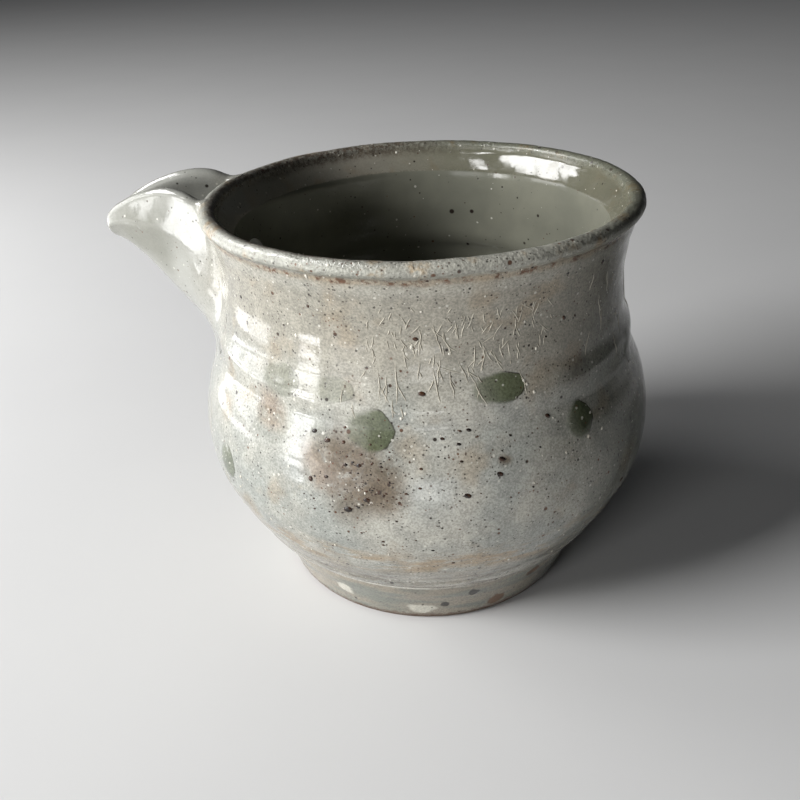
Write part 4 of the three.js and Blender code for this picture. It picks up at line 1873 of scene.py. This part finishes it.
@dataclass
class CrackleLines:
    """Fine ridges where the glaze drew together on the neck, each a wavering upright line.

    Attributes:
        pot: where the axis is
        chosen: azimuth and height of the top, length in mm and lean in degrees of the chosen lines
        half_width: half the ridge's width in mm
        shift: how far to the right it lies, in mm; a dark copy shifted to the right paints the ridges' shadow
        crowded: how many short ones lie among the chosen ones
        scattered: how many more lie round the rest of the neck
        seed: for the scattered ones
        branching: length in mm from which a line has a branch
        neck: the neck's radius in mm
        pitch: how far apart a line's points are, in mm
    """

    pot: PotFrame
    chosen: tuple[tuple[float, float, float, float], ...]
    half_width: float
    shift: float = 0.0
    crowded: int = 90
    scattered: int = 70
    seed: int = 11
    branching: float = 3.2
    neck: float = 43.0
    pitch: float = 0.4

    def lines(self) -> list[tuple[float, float, float, float]]:
        """All the lines: the chosen ones, branches on the long ones, short ones among them, and the rest."""
        chance = np.random.default_rng(self.seed)
        more = []
        for azimuth, top, length, lean in self.chosen:
            if length > self.branching:
                down = length * float(chance.uniform(0.3, 0.6))
                where = azimuth + math.degrees(math.tan(math.radians(lean)) * down / self.neck)
                turn = float(chance.choice((-1.0, 1.0)) * chance.uniform(18.0, 38.0))
                more.append((where, top - down, length * float(chance.uniform(0.25, 0.5)), lean + turn))
        for _ in range(self.crowded):
            azimuth, top = float(chance.uniform(-96.0, -48.0)), float(chance.triangular(64.0, 74.0, 79.5))
            more.append((azimuth, top, float(chance.uniform(0.8, 2.4)), float(chance.normal(0.0, 26.0))))
        for _ in range(self.scattered):
            azimuth = float(chance.uniform(-38.0, 160.0))
            top = float(chance.uniform(62.0, 79.0))
            length = float(chance.uniform(1.5, 6.0))
            more.append((azimuth, top, length, float(chance.normal(0.0, 14.0))))
        return list(self.chosen) + more

    def build(self, name: str, material: Material, probe: SurfaceProbe) -> Piece:
        """Builds the ridges.

        Args:
            name: the piece's name
            material: covers them
            probe: the body's probe

        Returns:
            The ridges as one piece
        """
        points, edges, widths = [], [], []
        for number, (azimuth, top, length, lean) in enumerate(self.lines()):
            count = max(4, int(length / self.pitch))
            for i, share in enumerate(np.linspace(0.0, 1.0, count)):
                down = length * float(share)
                sway = 0.40 * noise_vector(Vector((number * 3.7, down / 2.2, 0.5))).x
                sway += 0.14 * noise_vector(Vector((number * 5.3, down / 0.7, 2.5))).x
                across = math.tan(math.radians(lean)) * down + sway + self.shift
                where = azimuth + math.degrees(across / self.neck)
                point, out = probe.wall(self.pot, where, top - down)
                points.append(point - out * 0.02 * MM)
                full = math.sin(math.pi * (0.06 + 0.88 * float(share)))
                widths.append(self.half_width * (0.25 + 0.75 * full))
                if i:
                    edges.append((len(points) - 2, len(points) - 1))
        obj = new_object(name, points, edges)
        write_attribute(obj, "width", widths)
        recipe = NodeRecipe("raise_" + name)
        sheet = recipe.sheet
        width = sheet.stored("width")
        recipe.step("GeometryNodeMeshToCurve")
        section = sheet.add("GeometryNodeCurvePrimitiveCircle", {"Resolution": 5, "Radius": MM}).outputs[0]
        swept = {"Curve": recipe.geometry, "Profile Curve": section, "Scale": width, "Fill Caps": True}
        recipe.geometry = sheet.add("GeometryNodeCurveToMesh", swept).outputs[0]
        recipe.smooth()
        recipe.paint("Finish", material)
        return recipe.make(obj)


@dataclass(frozen=True)
class FloorFinish:
    """Plain matt off-white."""

    name: str = "studio_floor"
    pale: Colour = (0.672, 0.671, 0.667)
    grey: Colour = (0.642, 0.641, 0.64)
    rough: float = 0.9

    def material(self) -> Material:
        """Builds the floor's finish."""
        sheet = MaterialSheet(self.name, 0.0)
        ground = sheet.mix(sheet.noise(sheet.place, 60.0, 3.0), self.grey, self.pale)
        return sheet.end(ground, self.rough, Specular_IOR_Level=0.0)


@dataclass(frozen=True)
class Pane:
    """A pane of light: either soft light, or one that only shows mirrored in the glaze.

    Attributes:
        azimuth: degrees round the potter's axis
        far: distance from the axis in mm
        high: height of its middle in mm
        wide: width in mm
        tall: height in mm
        glow: its brightness, in watts per square metre and steradian
        side: how far it stands off its azimuth, in mm
        aim: height over the table that it faces
        mirrored: whether it is the mirrored kind
    """

    azimuth: float
    far: float
    high: float
    wide: float
    tall: float
    glow: float
    side: float = 0.0
    aim: float = 50.0
    mirrored: bool = False


SOFT_PANES = (
    Pane(209.0, 1000.0, 560.0, 560.0, 300.0, 35.5),
    Pane(174.0, 1000.0, 560.0, 300.0, 300.0, 2.0),
    Pane(238.0, 1000.0, 140.0, 360.0, 190.0, 24.0),
    Pane(175.0, 500.0, 200.0, 200.0, 200.0, 7.0),
)


def window(azimuth: float, far: float, wide: float, glow: float, sides: Sequence[float]) -> tuple[Pane, ...]:
    """A window close to the pot that only shows mirrored: columns of three panes with bars between them.

    Args:
        azimuth: degrees round the potter's axis
        far: distance from the axis in mm
        wide: width of a pane in mm
        glow: its brightness
        sides: where its columns stand, in mm

    Returns:
        Its panes
    """
    rows = ((8.0, 27.0), (39.0, 92.0), (99.0, 162.0))
    return tuple(
        Pane(azimuth, far, (low + high) / 2, wide, high - low, glow, side, (low + high) / 2, True)
        for side in sides
        for low, high in rows
    )


WINDOW_PANES = (
    *window(179.0, 197.0, 57.0, 4.2, (-31.0, 31.0)),
    *window(221.0, 207.0, 42.0, 11.0, (0.0,)),
    *window(244.0, 210.0, 76.0, 1.8, (0.0,)),
    Pane(-79.5, 215.0, 17.0, 60.0, 22.0, 2.8, 0.0, 17.0, True),
    Pane(205.5, 204.0, 92.0, 16.0, 26.0, 8.0, 0.0, 84.0, True),
    Pane(157.0, 278.0, 285.0, 70.0, 100.0, 15.0, 0.0, 84.0, True),
    Pane(175.0, 276.0, 322.0, 90.0, 160.0, 18.0, 0.0, 84.0, True),
    Pane(192.5, 274.0, 360.0, 74.0, 150.0, 20.0, 0.0, 84.0, True),
    Pane(227.0, 265.0, 392.0, 30.0, 120.0, 20.0, 0.0, 84.0, True),
)


@dataclass
class Studio:
    """Floor, lights and camera.

    Attributes:
        pot: the object that they are set for
        lens: the camera's lens in mm, on a 36 mm sensor
        stand: the camera's place in mm
        turn: the camera's heading, tip and roll in degrees
        room: strength of the light from all round
        room_tint: its colour
        floor_side: side of the floor in metres
        sensor: the camera's sensor in mm
    """

    pot: PotFrame
    lens: float = 39.6
    stand: tuple[float, float, float] = (37.94, -175.71, 138.43)
    turn: tuple[float, float, float] = (11.1, 60.112, -2.396)
    room: float = 0.032
    room_tint: Colour = (0.93, 0.96, 1.0)
    floor_side: float = 8.0
    sensor: float = 36.0

    def floor(self) -> Piece:
        """The plain pale floor."""
        side = self.floor_side / 2
        corners = [(-side, -side), (side, -side), (side, side), (-side, side)]
        obj = new_object("floor", [(x, y, -0.02 * MM) for x, y in corners], (), [(0, 1, 2, 3)])
        obj.data.materials.append(FloorFinish().material())
        return obj

    def pane(self, light: Pane) -> None:
        """Hangs one pane of light.

        Args:
            light: its place, size and power
        """
        data = bpy.data.lights.new("pane", "AREA")
        data.shape = "RECTANGLE"
        data.size, data.size_y = light.wide * MM, light.tall * MM
        data.energy = light.glow * math.pi * data.size * data.size_y
        obj = bpy.data.objects.new("pane", data)
        a = math.radians(light.azimuth)
        across = Vector((-math.sin(a), math.cos(a), 0.0))
        obj.location = self.pot.place(light.azimuth, light.far, light.high) + across * light.side * MM
        aim = self.pot.place(0.0, 0.0, light.aim) + across * light.side * MM - obj.location
        obj.rotation_mode = "QUATERNION"
        obj.rotation_quaternion = aim.to_track_quat("-Z", "Y")
        obj.visible_camera = False
        obj.visible_diffuse = not light.mirrored
        obj.visible_glossy = light.mirrored
        bpy.context.scene.collection.objects.link(obj)

    def lights(self) -> None:
        """Soft light from the left front, and the window that the glaze mirrors."""
        for light in SOFT_PANES + WINDOW_PANES:
            self.pane(light)
        world = bpy.data.worlds.new("room")
        world.use_nodes = True
        back = world.node_tree.nodes["Background"]
        back.inputs["Color"].default_value = (*self.room_tint, 1.0)
        back.inputs["Strength"].default_value = self.room
        bpy.context.scene.world = world

    def camera(self) -> None:
        """The camera at the photograph's viewing angle."""
        data = bpy.data.cameras.new("camera")
        data.lens, data.sensor_width = self.lens, self.sensor
        data.clip_start, data.clip_end = 0.01, 20.0
        obj = bpy.data.objects.new("camera", data)
        heading, tip, roll = (math.radians(v) for v in self.turn)
        turn = Matrix.Rotation(heading, 4, "Z") @ Matrix.Rotation(tip, 4, "X") @ Matrix.Rotation(roll, 4, "Z")
        obj.matrix_world = Matrix.Translation(Vector(self.stand) * MM) @ turn
        bpy.context.scene.collection.objects.link(obj)
        bpy.context.scene.camera = obj

    def build(self) -> None:
        """Sets up everything round the pot."""
        self.floor()
        self.lights()
        self.camera()
        bpy.context.scene.view_settings.view_transform = "Standard"


def speck_cluster(centre: tuple[float, float], spread: tuple[float, float], count: int, seed: int) -> list:
    """Small specks crowded round one place on the wall.

    Args:
        centre: azimuth and height of the middle
        spread: how wide they lie, in degrees and mm
        count: how many there are
        seed: for the scatter

    Returns:
        Azimuth, height and width of each
    """
    chance = np.random.default_rng(seed)
    found = []
    for _ in range(count):
        azimuth = centre[0] + spread[0] * float(chance.normal())
        height = centre[1] + spread[1] * float(chance.normal())
        found.append((azimuth, height, float(0.22 + 0.36 * chance.random() ** 2.5)))
    return found


# Azimuth, height and width of the larger spots.
IRON_SPOTS = (
    (-82.8, 72.1, 0.9), (-81.6, 62.0, 1.1), (-104.1, 52.2, 1.1), (-98.3, 40.1, 1.5), (-94.0, 42.6, 1.1),
    (-95.9, 48.9, 0.9), (-99.1, 48.7, 0.8), (-103.5, 45.8, 0.8), (-64.1, 49.3, 1.1), (-64.9, 46.7, 1.1),
    (-72.3, 43.5, 1.2), (-71.0, 54.9, 0.8), (-51.0, 54.4, 1.0), (-77.2, 53.8, 0.7), (-73.5, 52.7, 0.7),
)

# Azimuth and height of the top, length in mm and lean in degrees.
NECK_LINES = (
    (-86.0, 70.6, 4.2, 12.0), (-83.8, 71.5, 3.0, 10.0), (-81.3, 73.8, 5.0, -6.0), (-78.9, 74.4, 3.6, 20.0),
    (-76.5, 72.5, 4.0, 24.0), (-73.4, 75.3, 3.4, 4.0), (-70.9, 74.8, 3.0, -14.0), (-92.0, 66.2, 5.6, 4.0),
    (-90.2, 65.0, 4.6, 2.0), (-88.0, 67.8, 7.6, 4.0), (-82.0, 68.0, 3.6, -4.0), (-79.0, 66.6, 6.4, 10.0),
    (-77.0, 68.2, 5.2, -8.0), (-75.0, 66.0, 5.0, 8.0), (-72.6, 67.6, 4.4, 20.0), (-71.0, 66.8, 3.4, 22.0),
    (-68.4, 70.2, 4.4, -10.0), (-66.2, 69.0, 3.8, -14.0), (-64.4, 68.6, 4.0, 26.0), (-62.6, 69.8, 3.0, 14.0),
    (-60.2, 69.8, 2.6, 6.0), (-58.2, 69.4, 2.6, 16.0), (-69.0, 63.6, 4.4, 22.0), (-57.4, 64.2, 4.8, 10.0),
    (-88.6, 61.0, 3.4, -2.0), (-86.6, 60.0, 2.4, 12.0), (-98.0, 60.0, 3.0, 4.0), (-101.0, 62.0, 2.6, -6.0),
    (-67.0, 76.4, 2.4, 12.0), (-64.0, 77.0, 2.4, 30.0), (-60.0, 76.0, 2.6, 34.0), (-56.6, 75.4, 2.2, -24.0),
    (-62.0, 73.6, 2.0, -30.0), (-58.6, 72.6, 2.2, 30.0), (-54.0, 73.4, 2.0, 20.0), (-52.0, 70.0, 2.4, 12.0),
)


def main() -> None:
    """Builds the bowl, piece by piece, then the studio round it."""
    seed_set(NOISE_SEED)  # else the clock seeds Blender's own noise
    logging.basicConfig(level=logging.INFO, format="%(message)s")
    pot = PotFrame.read()
    log.info("potter's axis at %.2f mm, belly %.2f mm", pot.axis_x, pot.belly)
    thrown = ThrownBody(pot)
    ring = FootRing(pot)
    glaze = AshGlaze().material(pot, thrown.outside)
    clay = BareClay().material(pot)
    iron = Grit("iron_spot", (0.014, 0.010, 0.008), (0.055, 0.026, 0.014), 0.16).material(pot)
    sand = Grit("sand_grain", (0.47, 0.44, 0.37), (0.58, 0.56, 0.49), 0.25).material(pot)
    ridge = Grit("crackle_ridge", (0.40, 0.37, 0.30), (0.52, 0.485, 0.40), 0.25).material(pot)
    # Dark finish for the painted shadow beside the crackle ridges.
    ridge_shadow = Grit("crackle_crack", (0.09, 0.08, 0.06), (0.18, 0.165, 0.13), 0.4).material(pot)

    body = thrown.throw(glaze, clay)
    probe = SurfaceProbe(body)
    trough = Spout(pot)
    starts = trough.meeting(probe)
    spout = trough.build(glaze, starts)
    seam = SeamCoil(pot, trough).build(glaze, starts, probe, SurfaceProbe(spout))
    spots = list(IRON_SPOTS)
    spots += speck_cluster((-92.5, 44.5), (4.2, 3.4), 80, 21)
    spots += speck_cluster((-95.0, 47.0), (8.0, 5.5), 70, 22)
    spots += speck_cluster((-72.0, 47.0), (9.0, 6.0), 40, 23)
    irons = GlazeSpecks(pot, "iron_spots", Speck.IRON, tuple(spots), 0.20, 0.35, 1.1, 0.38, 5)
    grains = GlazeSpecks(pot, "sand_grains", Speck.SAND, (), 1.1, 0.25, 0.8, 0.40, 9)
    extras = [irons.build(iron, body, probe), grains.build(sand, body, probe)]
    extras.append(CrackleLines(pot, NECK_LINES, 0.10).build("crackle_ridges", ridge, probe))
    # A dark, thinner copy of the ridges 0.14 mm to their right: painted shadow of the ridges.
    extras.append(CrackleLines(pot, NECK_LINES, 0.06, 0.14).build("crackle_cracks", ridge_shadow, probe))
    PourHole(pot, thrown).cut(body)
    foot = ring.build(FootGlaze().material(pot, ring.outside), clay)

    settle(body, "glaze", "thrown_body")
    settle(foot, "foot_glaze", "foot_ring")
    settle(spout, "glaze", "spout")
    settle(seam, "glaze", "seam_coil")
    for extra in extras:
        settle(extra, "glaze")
    Studio(pot).build()


if __name__ == "__main__":
    main()
